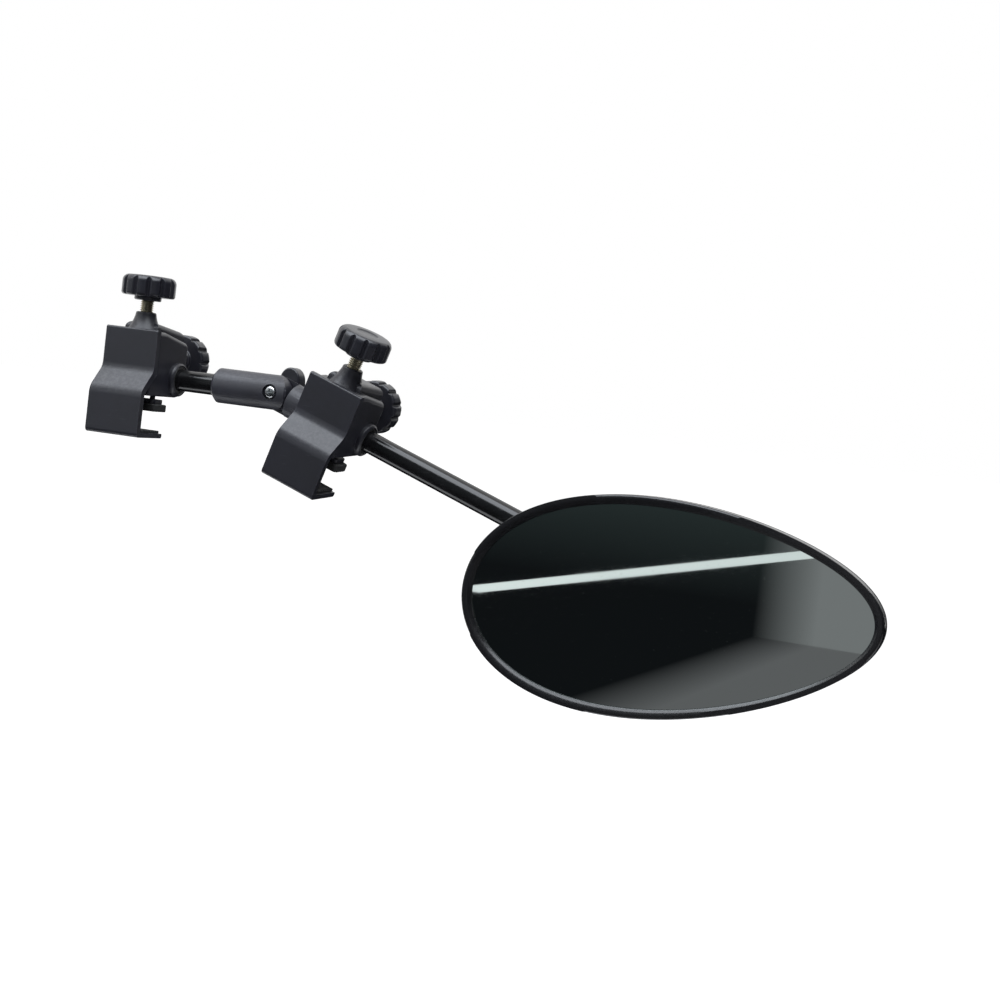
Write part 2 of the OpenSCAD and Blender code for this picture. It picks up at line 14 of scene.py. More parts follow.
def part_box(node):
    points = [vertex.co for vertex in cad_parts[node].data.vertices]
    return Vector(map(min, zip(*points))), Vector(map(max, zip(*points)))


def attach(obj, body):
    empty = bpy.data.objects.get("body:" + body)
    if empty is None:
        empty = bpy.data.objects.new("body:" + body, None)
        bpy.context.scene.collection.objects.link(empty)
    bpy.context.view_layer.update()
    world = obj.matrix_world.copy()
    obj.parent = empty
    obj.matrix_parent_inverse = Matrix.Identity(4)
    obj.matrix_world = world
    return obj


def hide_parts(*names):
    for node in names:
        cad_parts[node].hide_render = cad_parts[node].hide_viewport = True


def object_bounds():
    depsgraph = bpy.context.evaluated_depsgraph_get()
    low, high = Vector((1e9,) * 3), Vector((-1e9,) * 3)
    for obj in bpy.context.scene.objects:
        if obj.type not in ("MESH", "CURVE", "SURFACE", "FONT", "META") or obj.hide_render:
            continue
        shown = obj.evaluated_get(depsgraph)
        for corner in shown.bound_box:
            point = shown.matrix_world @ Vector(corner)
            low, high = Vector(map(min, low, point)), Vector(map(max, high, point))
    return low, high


scene = bpy.context.scene
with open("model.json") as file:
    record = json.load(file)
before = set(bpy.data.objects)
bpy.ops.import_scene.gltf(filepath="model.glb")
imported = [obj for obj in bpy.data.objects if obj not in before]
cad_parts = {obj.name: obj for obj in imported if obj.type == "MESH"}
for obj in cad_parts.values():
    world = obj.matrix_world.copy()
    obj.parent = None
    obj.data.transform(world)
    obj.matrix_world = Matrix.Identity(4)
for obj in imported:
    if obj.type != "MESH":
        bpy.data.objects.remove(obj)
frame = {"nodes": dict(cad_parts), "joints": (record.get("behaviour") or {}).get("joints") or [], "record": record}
cad_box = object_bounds()

# ---- Places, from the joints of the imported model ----

MM = 0.001
joints = {joint["name"]: joint for joint in frame["joints"]}


def spot(joint):
    return Vector(joints[joint]["pos_m"]) / MM


def direction(joint):
    return Vector(joints[joint]["axis"]).normalized()


def axes_at(place, x, y, z, local=(0, 0, 0)):
    """The frame with these axes whose own point local lies at place."""
    turn = Matrix((x, y, z)).transposed().to_4x4()
    return Matrix.Translation(place) @ turn @ Matrix.Translation(-Vector(local))


def shifted(x=0, y=0, z=0):
    return Matrix.Translation((x, y, z))


BACK = Vector((0, 1, 0))
ARM_LINE = direction("outer_clamp_slide")
CLAMPS = {
    "inner": Matrix.Identity(4),
    "outer": axes_at(spot("outer_clamp_roll"), ARM_LINE, direction("outer_shoe_slide"),
                     direction("outer_foot_slide"), local=spot("inner_arm_roll")),
}
PIVOT = Matrix.Translation(spot("arm_hinge"))
OUTER_ARM = axes_at(spot("arm_hinge"), ARM_LINE, BACK, ARM_LINE.cross(BACK))
BALL = Matrix.Translation(spot("head_turn"))
ball_on_arm = OUTER_ARM.inverted() @ spot("head_turn")
FITTING = OUTER_ARM @ shifted(x=ball_on_arm.x)
NECK_REACH = -ball_on_arm.y

# ---- Sizes in millimetres ----

SCREW_Y = spot("inner_screw_turn").y
LOCK_Z = spot("inner_lock_turn").z
TUBE_Y, TUBE_Z = spot("inner_arm_roll").yz
TUBE_R = 8
TUBE_WALL = 1.5
RUN = 0.05                      # radial clearance of a running fit

PLATE_W, PLATE_T = 44, 5
PLATE_FRONT, PLATE_TOP = -6, 74
JOGGLE_LOW, JOGGLE_HIGH, JOGGLE_STEP = 28, 43.5, 14.5
LIP_BOTTOM, LIP_END = -5.5, 14.5
PAD_T, PAD_HALF = 2, 13.5

BODY_W = 41
BODY_FRONT, BODY_BACK, BODY_TOP, BODY_DROP = 1, 42, 73, 6
CHIN = 9                        # reach of the body's chin under the joggle
HUMP_HALF, HUMP_H, HUMP_LEN, HUMP_TILT = 14, 10.5, 40, 7
HUMP_Y, HUMP_TOP, HUMP_EDGE = 7, 79.5, 4.9
HOUSING_R = 13.55
HAIRLINE = 0.04                 # gap between faces that rest on each other and move apart
BODY_BASE = TUBE_Z - HOUSING_R
COLLAR_R, COLLAR_HALF = 12.55, 24.5
SEAT_HALF, SEAT_LOW, SEAT_HIGH = 9, 47, 69      # raised seat of the jaw plate on the body's front
BUSH_R = 10.05
BOSS_R, BOSS_TOP, BACK_BOSS_END = 7.5, 86.6, 51.5
RIB_X, RIB_R = 15.5, 10.85
GUIDE_X, GUIDE_R = 13, 2
FIX_X, FIX_Z, FIX_R, FIX_SEAT = 14.5, 60.05, 2, 9
SPIGOT_R, SPIGOT_END = 5, 6

SCREW_R, SCREW_PITCH = 5, 1.5
TIP_R, TIP_Z = 3, 17.9
FOOT_TOP = 23
JAW_GAP, FOOT_Z = 14, 19.5
KNOB_Z, KNOB_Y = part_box("inner_clamp_knob")[0].z / MM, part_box("inner_lock_knob")[0].y / MM
KNOB_R, KNOB_T, KNOB_COLLAR, KNOB_COLLAR_R = 20, 15.5, 3, 10
STUD_IN_KNOB = 9
FLUTES, FLUTE_W, FLUTE_DEPTH = 12, 4.4, 2.0
SHOE_BACK = 34

SLEEVE_R, LAP = 13, 14.5
SLEEVE_LEN = spot("arm_hinge").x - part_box("hinge_sleeve")[0].x / MM
SPOT_FACE = 10                  # depth of the hinge's two spot faces, from its axis
BOLT_R, BOLT_HEAD_R, BOLT_HEAD_T, BOLT_RECESS_R = 3, 4.4, 3.2, 5.8
KNUCKLE_LEN = 32
WASHER_T = 1.2
STAR_NECK, STAR_T, STAR_TIP, STAR_WAIST = 5, 12, 19.5, 10
PIN_R = 2
SLEEVE_PIN_X = 12 - SLEEVE_LEN
KNUCKLE_PIN_X = KNUCKLE_LEN - 7

FITTING_R, FITTING_BEFORE, FITTING_AFTER = 11.5, 30, 13
FITTING_PIN_X = 8 - FITTING_BEFORE
NECK_R, SHANK_R, BALL_R = 6, 4, 11

HEAD_A, HEAD_B, EGG, HEAD_LEAN, HEAD_RISE = 143.5, 72.5, 0.19, 4, 5
BEZEL_FRONT, GLASS_FRONT, GLASS_BACK, SHELL_RIM, SHELL_BACK = -25, -21, -18, -17, 5
BEZEL_W, GLASS_INSET, SHELL_T, SHELL_FLAT, RIM_H = 6.5, 4, 2.5, 0.5, 3
MOUTH_R = 12
SOCKET_SCREW_R, SOCKET_SCREW_AT, SOCKET_SCREW_TURNS = 1.6, 21.5, (45, 135, 225, 315)

FULL_TURN = 2 * math.pi

# ---- Mesh tools ----


def spun(profile, steps=96, along="Z", closed=False):
    """Solid of revolution about an axis, from (radius, place along the axis) points."""
    bm = bmesh.new()
    points = [bm.verts.new((r, 0, z)) for r, z in profile]
    ends = points[1:] + points[:1] if closed else points[1:]
    lines = [bm.edges.new(pair) for pair in zip(points, ends)]
    bmesh.ops.spin(bm, geom=points + lines, cent=(0, 0, 0), axis=(0, 0, 1), angle=FULL_TURN,
                   steps=steps, use_merge=True, use_duplicate=False)
    cleaned(bm)
    turns = {"X": Matrix.Rotation(FULL_TURN / 4, 4, "Y"), "Y": Matrix.Rotation(-FULL_TURN / 4, 4, "X")}
    if along in turns:
        bm.transform(turns[along])
        bm.normal_update()
    return bm


def cleaned(bm, distance=0.002):
    bmesh.ops.remove_doubles(bm, verts=bm.verts, dist=distance)
    bmesh.ops.dissolve_degenerate(bm, dist=distance / 4, edges=bm.edges)
    bmesh.ops.recalc_face_normals(bm, faces=bm.faces)
    return bm


def rod(radius, start, end, along="Z", steps=96, chamfer=0):
    """Solid round bar, with chamfered rims if asked."""
    if not chamfer:
        return spun([(0, start), (radius, start), (radius, end), (0, end)], steps, along)
    return spun([(0, start), (radius - chamfer, start), (radius, start + chamfer),
                 (radius, end - chamfer), (radius - chamfer, end), (0, end)], steps, along)


def block(low, high):
    bm = bmesh.new()
    bmesh.ops.create_cube(bm, size=1)
    low, high = Vector(low), Vector(high)
    bmesh.ops.scale(bm, vec=high - low, verts=bm.verts)
    bmesh.ops.translate(bm, vec=(low + high) / 2, verts=bm.verts)
    return bm


def arc(centre, radius, start, end, steps):
    """Points along an arc, angles in degrees."""
    angles = [math.radians(start + (end - start) * i / steps) for i in range(steps + 1)]
    return [(centre[0] + radius * math.cos(a), centre[1] + radius * math.sin(a)) for a in angles]


def flat_face(outline):
    """Face in the YZ plane with that outline."""
    bm = bmesh.new()
    bm.faces.new([bm.verts.new((0, y, z)) for y, z in outline])
    return bm


def rounded_corners(bm, radii):
    """Rounds corners of a flat face: radii gives (y, z) of a corner and its radius."""
    for (y, z), radius in radii:
        corner = min(bm.verts, key=lambda v: (v.co.y - y) ** 2 + (v.co.z - z) ** 2)
        a, b = [(e.other_vert(corner).co - corner.co) for e in corner.link_edges]
        reach = radius / math.tan(a.angle(b) / 2)
        bmesh.ops.bevel(bm, geom=[corner], offset=reach, offset_type="OFFSET", affect="VERTICES",
                        segments=9, profile=0.5, material=-1)
    return bm


def pushed_out(bm, width):
    """Flat face in the YZ plane made a solid of that width, centred on X."""
    faces = bmesh.ops.extrude_face_region(bm, geom=bm.faces[:], use_keep_orig=True)["geom"]
    bmesh.ops.translate(bm, vec=(width, 0, 0), verts=[g for g in faces if isinstance(g, bmesh.types.BMVert)])
    bmesh.ops.translate(bm, vec=(-width / 2, 0, 0), verts=bm.verts)
    bmesh.ops.recalc_face_normals(bm, faces=bm.faces)
    return bm


def round_edges(bm, radius, segments=3, where=None, sharp=25):
    """Rounds the sharp edges, or those whose two ends pass the test."""
    edges = [e for e in bm.edges if len(e.link_faces) == 2
             and e.calc_face_angle(0) > math.radians(sharp)
             and (where is None or where(e.verts[0].co, e.verts[1].co))]
    bmesh.ops.bevel(bm, geom=edges, offset=radius, offset_type="OFFSET", affect="EDGES",
                    segments=segments, profile=0.5, clamp_overlap=True, material=-1)
    return bm


def scratch_object(bm):
    mesh = bpy.data.meshes.new("scratch")
    bm.to_mesh(mesh)
    bm.free()
    scratch = bpy.data.objects.new("scratch", mesh)
    scene.collection.objects.link(scratch)
    return scratch


def combined(bm, tool, operation):
    """Boolean of two closed shapes, both used up."""
    kept, used = scratch_object(bm), scratch_object(tool)
    modifier = kept.modifiers.new("combine", "BOOLEAN")
    modifier.object = used
    modifier.operation = operation
    modifier.solver = "EXACT"
    bpy.context.view_layer.update()
    solid = kept.evaluated_get(bpy.context.evaluated_depsgraph_get())
    result = bmesh.new()
    result.from_mesh(solid.to_mesh())
    solid.to_mesh_clear()
    for scratch in (kept, used):
        mesh = scratch.data
        bpy.data.objects.remove(scratch)
        bpy.data.meshes.remove(mesh)
    return result


def joined(bm, *tools):
    for tool in tools:
        bm = combined(bm, tool, "UNION")
    return bm


def cut(bm, *tools):
    for tool in tools:
        bm = combined(bm, tool, "DIFFERENCE")
    return bm


def common(bm, tool):
    return combined(bm, tool, "INTERSECT")


def moved(bm, x=0, y=0, z=0, turn=0, about="Z"):
    """Turned about an axis through the origin, in degrees, and then shifted."""
    bm.transform(shifted(x, y, z) @ Matrix.Rotation(math.radians(turn), 4, about))
    return bm


def finished(bm, name, place, body, slot, replaces, sharp=38):
    """Puts a shape in place as a piece that rides on a body and stands for CAD nodes."""
    bm.transform(Matrix.Scale(MM, 4) @ place)
    for face in bm.faces:
        face.smooth = True
    for edge in bm.edges:
        edge.smooth = len(edge.link_faces) != 2 or edge.calc_face_angle(0) < math.radians(sharp)
    mesh = bpy.data.meshes.new(name)
    bm.to_mesh(mesh)
    bm.free()
    piece = bpy.data.objects.new(name, mesh)
    scene.collection.objects.link(piece)
    weighted = piece.modifiers.new("even shading", "WEIGHTED_NORMAL")
    weighted.keep_sharp = True
    mesh.materials.append(LOOKS[slot])
    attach(piece, body)
    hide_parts(*replaces)
    return piece


# ---- Finishes ----


def link(tree, source, target):
    tree.links.new(source, target)


FINISH_OUTPUTS = (("Colour", "NodeSocketColor"), ("Roughness", "NodeSocketFloat"),
                  ("Height", "NodeSocketFloat"))


def new_group(name, inputs):
    """Shader node group for a finish; inputs are (name, socket type, default)."""
    group = bpy.data.node_groups.new(name, "ShaderNodeTree")
    for label, kind, value in inputs:
        socket = group.interface.new_socket(label, in_out="INPUT", socket_type=kind)
        socket.default_value = value
    for label, kind in FINISH_OUTPUTS:
        group.interface.new_socket(label, in_out="OUTPUT", socket_type=kind)
    return group, group.nodes.new("NodeGroupInput").outputs, group.nodes.new("NodeGroupOutput").inputs


def math_node(tree, operation, a, b=None, clamp=False):
    node = tree.nodes.new("ShaderNodeMath")
    node.operation = operation
    node.use_clamp = clamp
    for socket, value in zip(node.inputs, (a, b)):
        if isinstance(value, (int, float)):
            socket.default_value = value
        elif value is not None:
            link(tree, value, socket)
    return node.outputs[0]


def times(tree, a, b, clamp=False):
    return math_node(tree, "MULTIPLY", a, b, clamp)


def plus(tree, a, b, clamp=False):
    return math_node(tree, "ADD", a, b, clamp)


def ranged(tree, value, low, high, to_low=0.0, to_high=1.0):
    node = tree.nodes.new("ShaderNodeMapRange")
    link(tree, value, node.inputs["Value"])
    for socket, number in zip(node.inputs[1:5], (low, high, to_low, to_high)):
        if isinstance(number, (int, float)):
            socket.default_value = number
        else:
            link(tree, number, socket)
    return node.outputs["Result"]


def mixed(tree, factor, a, b, blend="MIX"):
    node = tree.nodes.new("ShaderNodeMix")
    node.data_type = "RGBA"
    node.blend_type = blend
    link(tree, factor, node.inputs["Factor"])
    for socket, colour in ((node.inputs["A"], a), (node.inputs["B"], b)):
        if isinstance(colour, tuple):
            socket.default_value = colour
        else:
            link(tree, colour, socket)
    return node.outputs["Result"]


def noise(tree, scale, detail=3.0, rough=0.55, stretch=None):
    """Noise on object coordinates; scale is in waves a metre."""
    place = tree.nodes.new("ShaderNodeTexCoord").outputs["Object"]
    if stretch:
        mapping = tree.nodes.new("ShaderNodeMapping")
        mapping.inputs["Scale"].default_value = stretch
        link(tree, place, mapping.inputs["Vector"])
        place = mapping.outputs["Vector"]
    node = tree.nodes.new("ShaderNodeTexNoise")
    link(tree, place, node.inputs["Vector"])
    node.inputs["Detail"].default_value = detail
    node.inputs["Roughness"].default_value = rough
    if isinstance(scale, (int, float)):
        node.inputs["Scale"].default_value = scale
    else:
        link(tree, scale, node.inputs["Scale"])
    return node.outputs["Fac"]


def cells(tree, scale):
    place = tree.nodes.new("ShaderNodeTexCoord").outputs["Object"]
    node = tree.nodes.new("ShaderNodeTexVoronoi")
    node.feature = "SMOOTH_F1"
    link(tree, place, node.inputs["Vector"])
    link(tree, scale, node.inputs["Scale"])
    return node.outputs["Distance"]


def edge_mask(tree, radius):
    """1 along edges, 0 on flats: where a rounded normal leaves the true one."""
    bevel = tree.nodes.new("ShaderNodeBevel")
    bevel.samples = 4
    bevel.inputs["Radius"].default_value = radius
    true_normal = tree.nodes.new("ShaderNodeNewGeometry").outputs["Normal"]
    dot = tree.nodes.new("ShaderNodeVectorMath")
    dot.operation = "DOT_PRODUCT"
    link(tree, bevel.outputs["Normal"], dot.inputs[0])
    link(tree, true_normal, dot.inputs[1])
    return ranged(tree, dot.outputs["Value"], 0.995, 0.86)


def upward(tree):
    normal = tree.nodes.new("ShaderNodeTexCoord").outputs["Normal"]
    parts = tree.nodes.new("ShaderNodeSeparateXYZ")
    link(tree, normal, parts.inputs["Vector"])
    return ranged(tree, parts.outputs["Z"], 0.1, 1.0)


def build_moulded():
    """Moulded plastic or rubber: grain, cloudy tone, lighter edges that are partly rub wear and partly a painted
    highlight, scuffs and settled dust.
    """
    tree, given, out = new_group("moulded finish", [
        ("Colour", "NodeSocketColor", (0.02, 0.02, 0.022, 1)),
        ("Rubbed Colour", "NodeSocketColor", (0.06, 0.06, 0.065, 1)),
        ("Roughness", "NodeSocketFloat", 0.5), ("Roughness Swing", "NodeSocketFloat", 0.12),
        ("Grain Scale", "NodeSocketFloat", 1800.0), ("Edge Wear", "NodeSocketFloat", 0.4),
        ("Scuffs", "NodeSocketFloat", 0.3), ("Dust", "NodeSocketFloat", 0.15),
    ])
    grain = plus(tree, times(tree, cells(tree, given["Grain Scale"]), 0.6),
                      noise(tree, given["Grain Scale"], detail=2.0))
    cloud = noise(tree, 38.0, detail=5.0, rough=0.62)
    # lighter colour along rounded edges: partly rub wear, partly a painted highlight
    edge = times(tree, edge_mask(tree, 0.0007), ranged(tree, noise(tree, 160.0), 0.38, 0.62))
    edge = times(tree, edge, given["Edge Wear"], clamp=True)
    scratch = ranged(tree, noise(tree, 1.0, detail=2.0, rough=0.5, stretch=(60.0, 700.0, 1500.0)), 0.68, 0.78)
    patch = ranged(tree, noise(tree, 22.0, detail=2.0), 0.48, 0.62)
    scuff = times(tree, times(tree, scratch, patch), given["Scuffs"], clamp=True)
    speck = ranged(tree, noise(tree, 420.0, detail=4.0, rough=0.7), 0.42, 0.68)
    dust = times(tree, times(tree, upward(tree), speck), given["Dust"], clamp=True)
    shade = mixed(tree, ranged(tree, cloud, 0.3, 0.7, 0.0, 0.35), given["Colour"], (0.004, 0.004, 0.005, 1))
    # edges take the lighter colour: partly rub wear, partly a painted highlight
    shade = mixed(tree, edge, shade, given["Rubbed Colour"])
    shade = mixed(tree, scuff, shade, given["Rubbed Colour"])
    link(tree, mixed(tree, dust, shade, (0.34, 0.34, 0.33, 1)), out["Colour"])
    swing = times(tree, math_node(tree, "SUBTRACT", cloud, 0.5), given["Roughness Swing"])
    rough = plus(tree, given["Roughness"], swing)
    rough = plus(tree, rough, times(tree, edge, -0.12))
    rough = plus(tree, rough, times(tree, dust, 0.3), clamp=True)
    link(tree, rough, out["Roughness"])
    link(tree, math_node(tree, "SUBTRACT", grain, times(tree, scuff, 0.5)), out["Height"])
    return tree


def build_plated():
    """Plated or turned metal: drawn grain, dull spots and a rubbed, brighter edge."""
    tree, given, out = new_group("plated finish", [
        ("Colour", "NodeSocketColor", (0.7, 0.7, 0.7, 1)),
        ("Dull Colour", "NodeSocketColor", (0.4, 0.38, 0.33, 1)),
        ("Roughness", "NodeSocketFloat", 0.3), ("Grain Scale", "NodeSocketFloat", 2500.0),
        ("Dull Spots", "NodeSocketFloat", 0.5),
    ])
    spots = ranged(tree, noise(tree, 240.0, detail=5.0, rough=0.65), 0.4, 0.66)
    spots = times(tree, spots, given["Dull Spots"], clamp=True)
    edge = edge_mask(tree, 0.0003)
    tint = mixed(tree, spots, given["Colour"], given["Dull Colour"])
    bright = mixed(tree, times(tree, edge, 0.5), tint, given["Colour"])
    link(tree, bright, out["Colour"])
    rough = plus(tree, given["Roughness"], times(tree, spots, 0.25), clamp=True)
    link(tree, rough, out["Roughness"])
    link(tree, noise(tree, given["Grain Scale"], detail=2.0), out["Height"])
    return tree


def build_painted():
    """Gloss paint on a tube: slight orange peel, fine rub marks along the tube and dust specks."""
    tree, given, out = new_group("painted finish", [
        ("Colour", "NodeSocketColor", (0.008, 0.008, 0.009, 1)), ("Roughness", "NodeSocketFloat", 0.16),
        ("Rub Marks", "NodeSocketFloat", 0.3),
    ])
    peel = noise(tree, 520.0, detail=1.5)
    rub = ranged(tree, noise(tree, 1.0, detail=3.0, stretch=(45.0, 900.0, 900.0)), 0.6, 0.74)
    rub = times(tree, rub, given["Rub Marks"], clamp=True)
    speck = ranged(tree, noise(tree, 1300.0, detail=2.0), 0.68, 0.74, 0.0, 0.25)
    dust = times(tree, speck, upward(tree))
    shade = mixed(tree, rub, given["Colour"], (0.035, 0.036, 0.038, 1))
    link(tree, mixed(tree, dust, shade, (0.3, 0.3, 0.29, 1)), out["Colour"])
    rough = plus(tree, given["Roughness"], times(tree, rub, 0.3))
    link(tree, plus(tree, rough, times(tree, dust, 0.5), clamp=True), out["Roughness"])
    link(tree, peel, out["Height"])
    return tree


def build_silvered():
    """Mirror face: barely visible wiping smears and dust specks."""
    tree, given, out = new_group("silvered finish", [
        ("Colour", "NodeSocketColor", (0.74, 0.8, 0.78, 1)), ("Roughness", "NodeSocketFloat", 0.012),
        ("Smears", "NodeSocketFloat", 0.05),
    ])
    smear = ranged(tree, noise(tree, 1.0, detail=4.0, rough=0.6, stretch=(14.0, 14.0, 55.0)), 0.45, 0.75)
    speck = ranged(tree, noise(tree, 900.0, detail=2.0), 0.7, 0.76)
    shade = mixed(tree, times(tree, speck, 0.25), given["Colour"], (0.45, 0.45, 0.43, 1))
    link(tree, shade, out["Colour"])
    rough = plus(tree, given["Roughness"], times(tree, smear, given["Smears"]))
    link(tree, plus(tree, rough, times(tree, speck, 0.2), clamp=True), out["Roughness"])
    link(tree, noise(tree, 60.0, detail=1.0), out["Height"])
    return tree


def finish(name, group, values, bump, bump_depth, **surface):
    """Material with the Principled BSDF fed by a finish group; surface sets its plain sockets."""
    look = bpy.data.materials.new(name)
    look.use_nodes = True
    tree = look.node_tree
    shader = tree.nodes["Principled BSDF"]
    for label, value in surface.items():
        shader.inputs[label.replace("_", " ")].default_value = value
    coat = tree.nodes.new("ShaderNodeGroup")
    coat.node_tree = group
    for label, value in values.items():
        coat.inputs[label].default_value = value
    height = tree.nodes.new("ShaderNodeBump")
    height.inputs["Strength"].default_value = bump
    height.inputs["Distance"].default_value = bump_depth
    link(tree, coat.outputs["Height"], height.inputs["Height"])
    link(tree, coat.outputs["Colour"], shader.inputs["Base Color"])
    link(tree, coat.outputs["Roughness"], shader.inputs["Roughness"])
    link(tree, height.outputs["Normal"], shader.inputs["Normal"])
    return look


def grey(value, blue=0.0, warm=0.0):
    return (value * (1 + warm), value, value * (1 + blue), 1)


MOULDED, PLATED, PAINTED, SILVERED = build_moulded(), build_plated(), build_painted(), build_silvered()
MOULDINGS = {
    # slot: colour, rubbed and edge highlight colour, roughness, grain scale, edge wear and painted edge highlight,
    # scuffs, dust, bump, bump depth
    "clamp_moulding": (grey(0.016, blue=0.4), grey(0.08, blue=0.2),
                       0.36, 1500.0, 0.55, 0.4, 0.14, 0.24, 0.0001),
    "arm_moulding": (grey(0.026, blue=0.35), grey(0.09, blue=0.2),
                     0.42, 1700.0, 0.4, 0.3, 0.12, 0.3, 0.0001),
    "knob_plastic": (grey(0.016, blue=0.35), grey(0.075, blue=0.2),
                     0.3, 1300.0, 0.5, 0.4, 0.1, 0.25, 0.0001),
    "rubber_pad": (grey(0.012), grey(0.05), 0.78, 900.0, 0.25, 0.2, 0.3, 0.5, 0.00015),
    "liner_plastic": (grey(0.03), grey(0.09), 0.42, 1200.0, 0.2, 0.5, 0.1, 0.2, 0.0001),
    "cup_plastic": (grey(0.62, warm=0.04), grey(0.42), 0.4, 1200.0, 0.2, 0.5, 0.1, 0.15, 0.0001),
    "head_shell": (grey(0.018, blue=0.15), grey(0.07, blue=0.1),
                   0.42, 1600.0, 0.3, 0.35, 0.12, 0.3, 0.0001),
    "bezel": (grey(0.009, blue=0.15), grey(0.055, blue=0.1), 0.24, 1900.0, 0.35, 0.3, 0.1, 0.15, 0.00008),
    "backing_board": (grey(0.045), grey(0.1), 0.7, 700.0, 0.2, 0.3, 0.1, 0.4, 0.0001),
    "friction_fibre": (grey(0.14, warm=0.25), grey(0.25, warm=0.1),
                       0.8, 2200.0, 0.3, 0.6, 0.1, 0.6, 0.0001),
}
MOULDED_INPUTS = ("Colour", "Rubbed Colour", "Roughness", "Grain Scale", "Edge Wear", "Scuffs", "Dust")
LOOKS = {slot: finish(slot.replace("_", " "), MOULDED, dict(zip(MOULDED_INPUTS, row)), *row[-2:])
         for slot, row in MOULDINGS.items()}
LOOKS.update({
    "zinc_thread": finish("yellow zinc", PLATED, {
        "Colour": (0.56, 0.52, 0.41, 1), "Dull Colour": (0.3, 0.27, 0.19, 1), "Roughness": 0.3,
        "Dull Spots": 0.6}, 0.2, 0.00005, Metallic=1.0),
    "bright_zinc": finish("bright zinc", PLATED, {
        "Colour": (0.72, 0.74, 0.76, 1), "Dull Colour": (0.5, 0.5, 0.49, 1), "Roughness": 0.22,
        "Dull Spots": 0.4}, 0.15, 0.00004, Metallic=1.0),
    "brass_insert": finish("brass", PLATED, {
        "Colour": (0.68, 0.47, 0.2, 1), "Dull Colour": (0.4, 0.27, 0.12, 1), "Roughness": 0.3,
        "Dull Spots": 0.4}, 0.15, 0.00004, Metallic=1.0),
    "tube_paint": finish("tube paint", PAINTED, {
        "Colour": grey(0.006, blue=0.1), "Roughness": 0.17, "Rub Marks": 0.3}, 0.08, 0.0001),
    "mirror_glass": finish("mirror glass", SILVERED, {"Smears": 0.02}, 0.002, 0.0001, Metallic=1.0,
                           Coat_Weight=1.0),
})

# CAD nodes whose shape is kept: they take their slot's finish
for material in frame["record"]["materials"]:
    for name in material.get("nodes", []):
        for material_slot in frame["nodes"][name].material_slots:
            material_slot.material = LOOKS[material["slot"]]

# ---- Shapes that more than one piece uses ----


def threaded_rod(radius, pitch, start, end, steps=32):
    """Rod along Z: one pitch of the thread's profile is swept up it and trimmed square."""
    root = radius - 0.6 * pitch
    turns = math.ceil((end - start) / pitch) + 2
    bm = bmesh.new()
    profile = [(root, 0), (root, 0.25), (radius, 0.5625), (radius, 0.6875), (root, 1)]
    points = [bm.verts.new((r, 0, start + (share - 1) * pitch)) for r, share in profile]
    lines = [bm.edges.new(pair) for pair in zip(points, points[1:])]
    bmesh.ops.spin(bm, geom=points + lines, cent=(0, 0, 0), axis=(0, 0, 1), dvec=(0, 0, pitch / steps),
                   angle=FULL_TURN * turns, steps=steps * turns, use_merge=False, use_duplicate=False)
    bmesh.ops.remove_doubles(bm, verts=bm.verts, dist=0.01)
    for height, side in ((start, -1), (end, 1)):
        bmesh.ops.bisect_plane(bm, geom=bm.verts[:] + bm.edges[:] + bm.faces[:], plane_co=(0, 0, height),
                               plane_no=(0, 0, side), clear_outer=True, dist=0.0001)
        rim = [e for e in bm.edges if e.is_boundary and abs(e.verts[0].co.z - height) < 0.001
               and abs(e.verts[1].co.z - height) < 0.001]
        bmesh.ops.edgeloop_fill(bm, edges=rim)
    bmesh.ops.recalc_face_normals(bm, faces=bm.faces)
    return bm


def fluted_knob():
    """Round knob standing on its collar: lobes between narrow grooves, a domed top and a stud bore."""
    base, top = KNOB_COLLAR, KNOB_COLLAR + KNOB_T
    foot = arc((KNOB_R - 2.2, base + 2.2), 2.2, -90, 0, 6)
    wall = [(KNOB_R, base + 2.2 + (top - base - 7.4) * i / 4) for i in range(1, 4)]
    shoulder = arc((KNOB_R - 5, top - 5.2), 5, 0, 76, 10)
    rim = KNOB_COLLAR_R
    bm = spun([(0, STUD_IN_KNOB), (SCREW_R, STUD_IN_KNOB), (SCREW_R, 0.4), (SCREW_R + 0.4, 0), (rim - 0.7, 0),
               (rim, 0.7), (rim, base - 0.4), (rim + 0.4, base), *foot, *wall, *shoulder,
               (KNOB_R - 7.5, top - 0.12), (9, top),
               (8.2, top - 0.1), (7.7, top - 0.6), (7, top - 0.7), (0, top - 0.7)], steps=FLUTES * 24)
    half = math.pi / FLUTES
    for v in bm.verts:
        reach = v.co.xy.length
        lobe = (math.atan2(v.co.y, v.co.x) % (2 * half)) - half
        from_groove = (half - abs(lobe)) * KNOB_R
        dip = max(0.0, 1 - (2 * from_groove / FLUTE_W) ** 2) ** 1.5 * FLUTE_DEPTH
        crown = 0.25 * (lobe / half) ** 2
        limit = KNOB_R - dip - crown
        if reach > limit:
            v.co.xy *= limit / reach
    return bm


def pan_head(radius, height, slot_len, slot_w, steps=64):
    """Screw head standing on the origin along Z, domed, with a cross recess."""
    bm = spun([(0, 0), (radius, 0), (radius, 0.45 * height), (0.86 * radius, 0.78 * height),
               (0.6 * radius, 0.94 * height), (0.3 * radius, height), (0, height)], steps)
    round_edges(bm, 0.12 * height, 2, sharp=30)
    for turn in (0, 90):
        arm = block((-slot_len / 2, -slot_w / 2, 0.45 * height), (slot_len / 2, slot_w / 2, 1.5 * height))
        foot = [v for v in arm.verts if v.co.z < height]
        bmesh.ops.scale(arm, vec=(0.6, 0.75, 1), verts=foot)
        bm = cut(bm, moved(arm, turn=turn))
    return bm


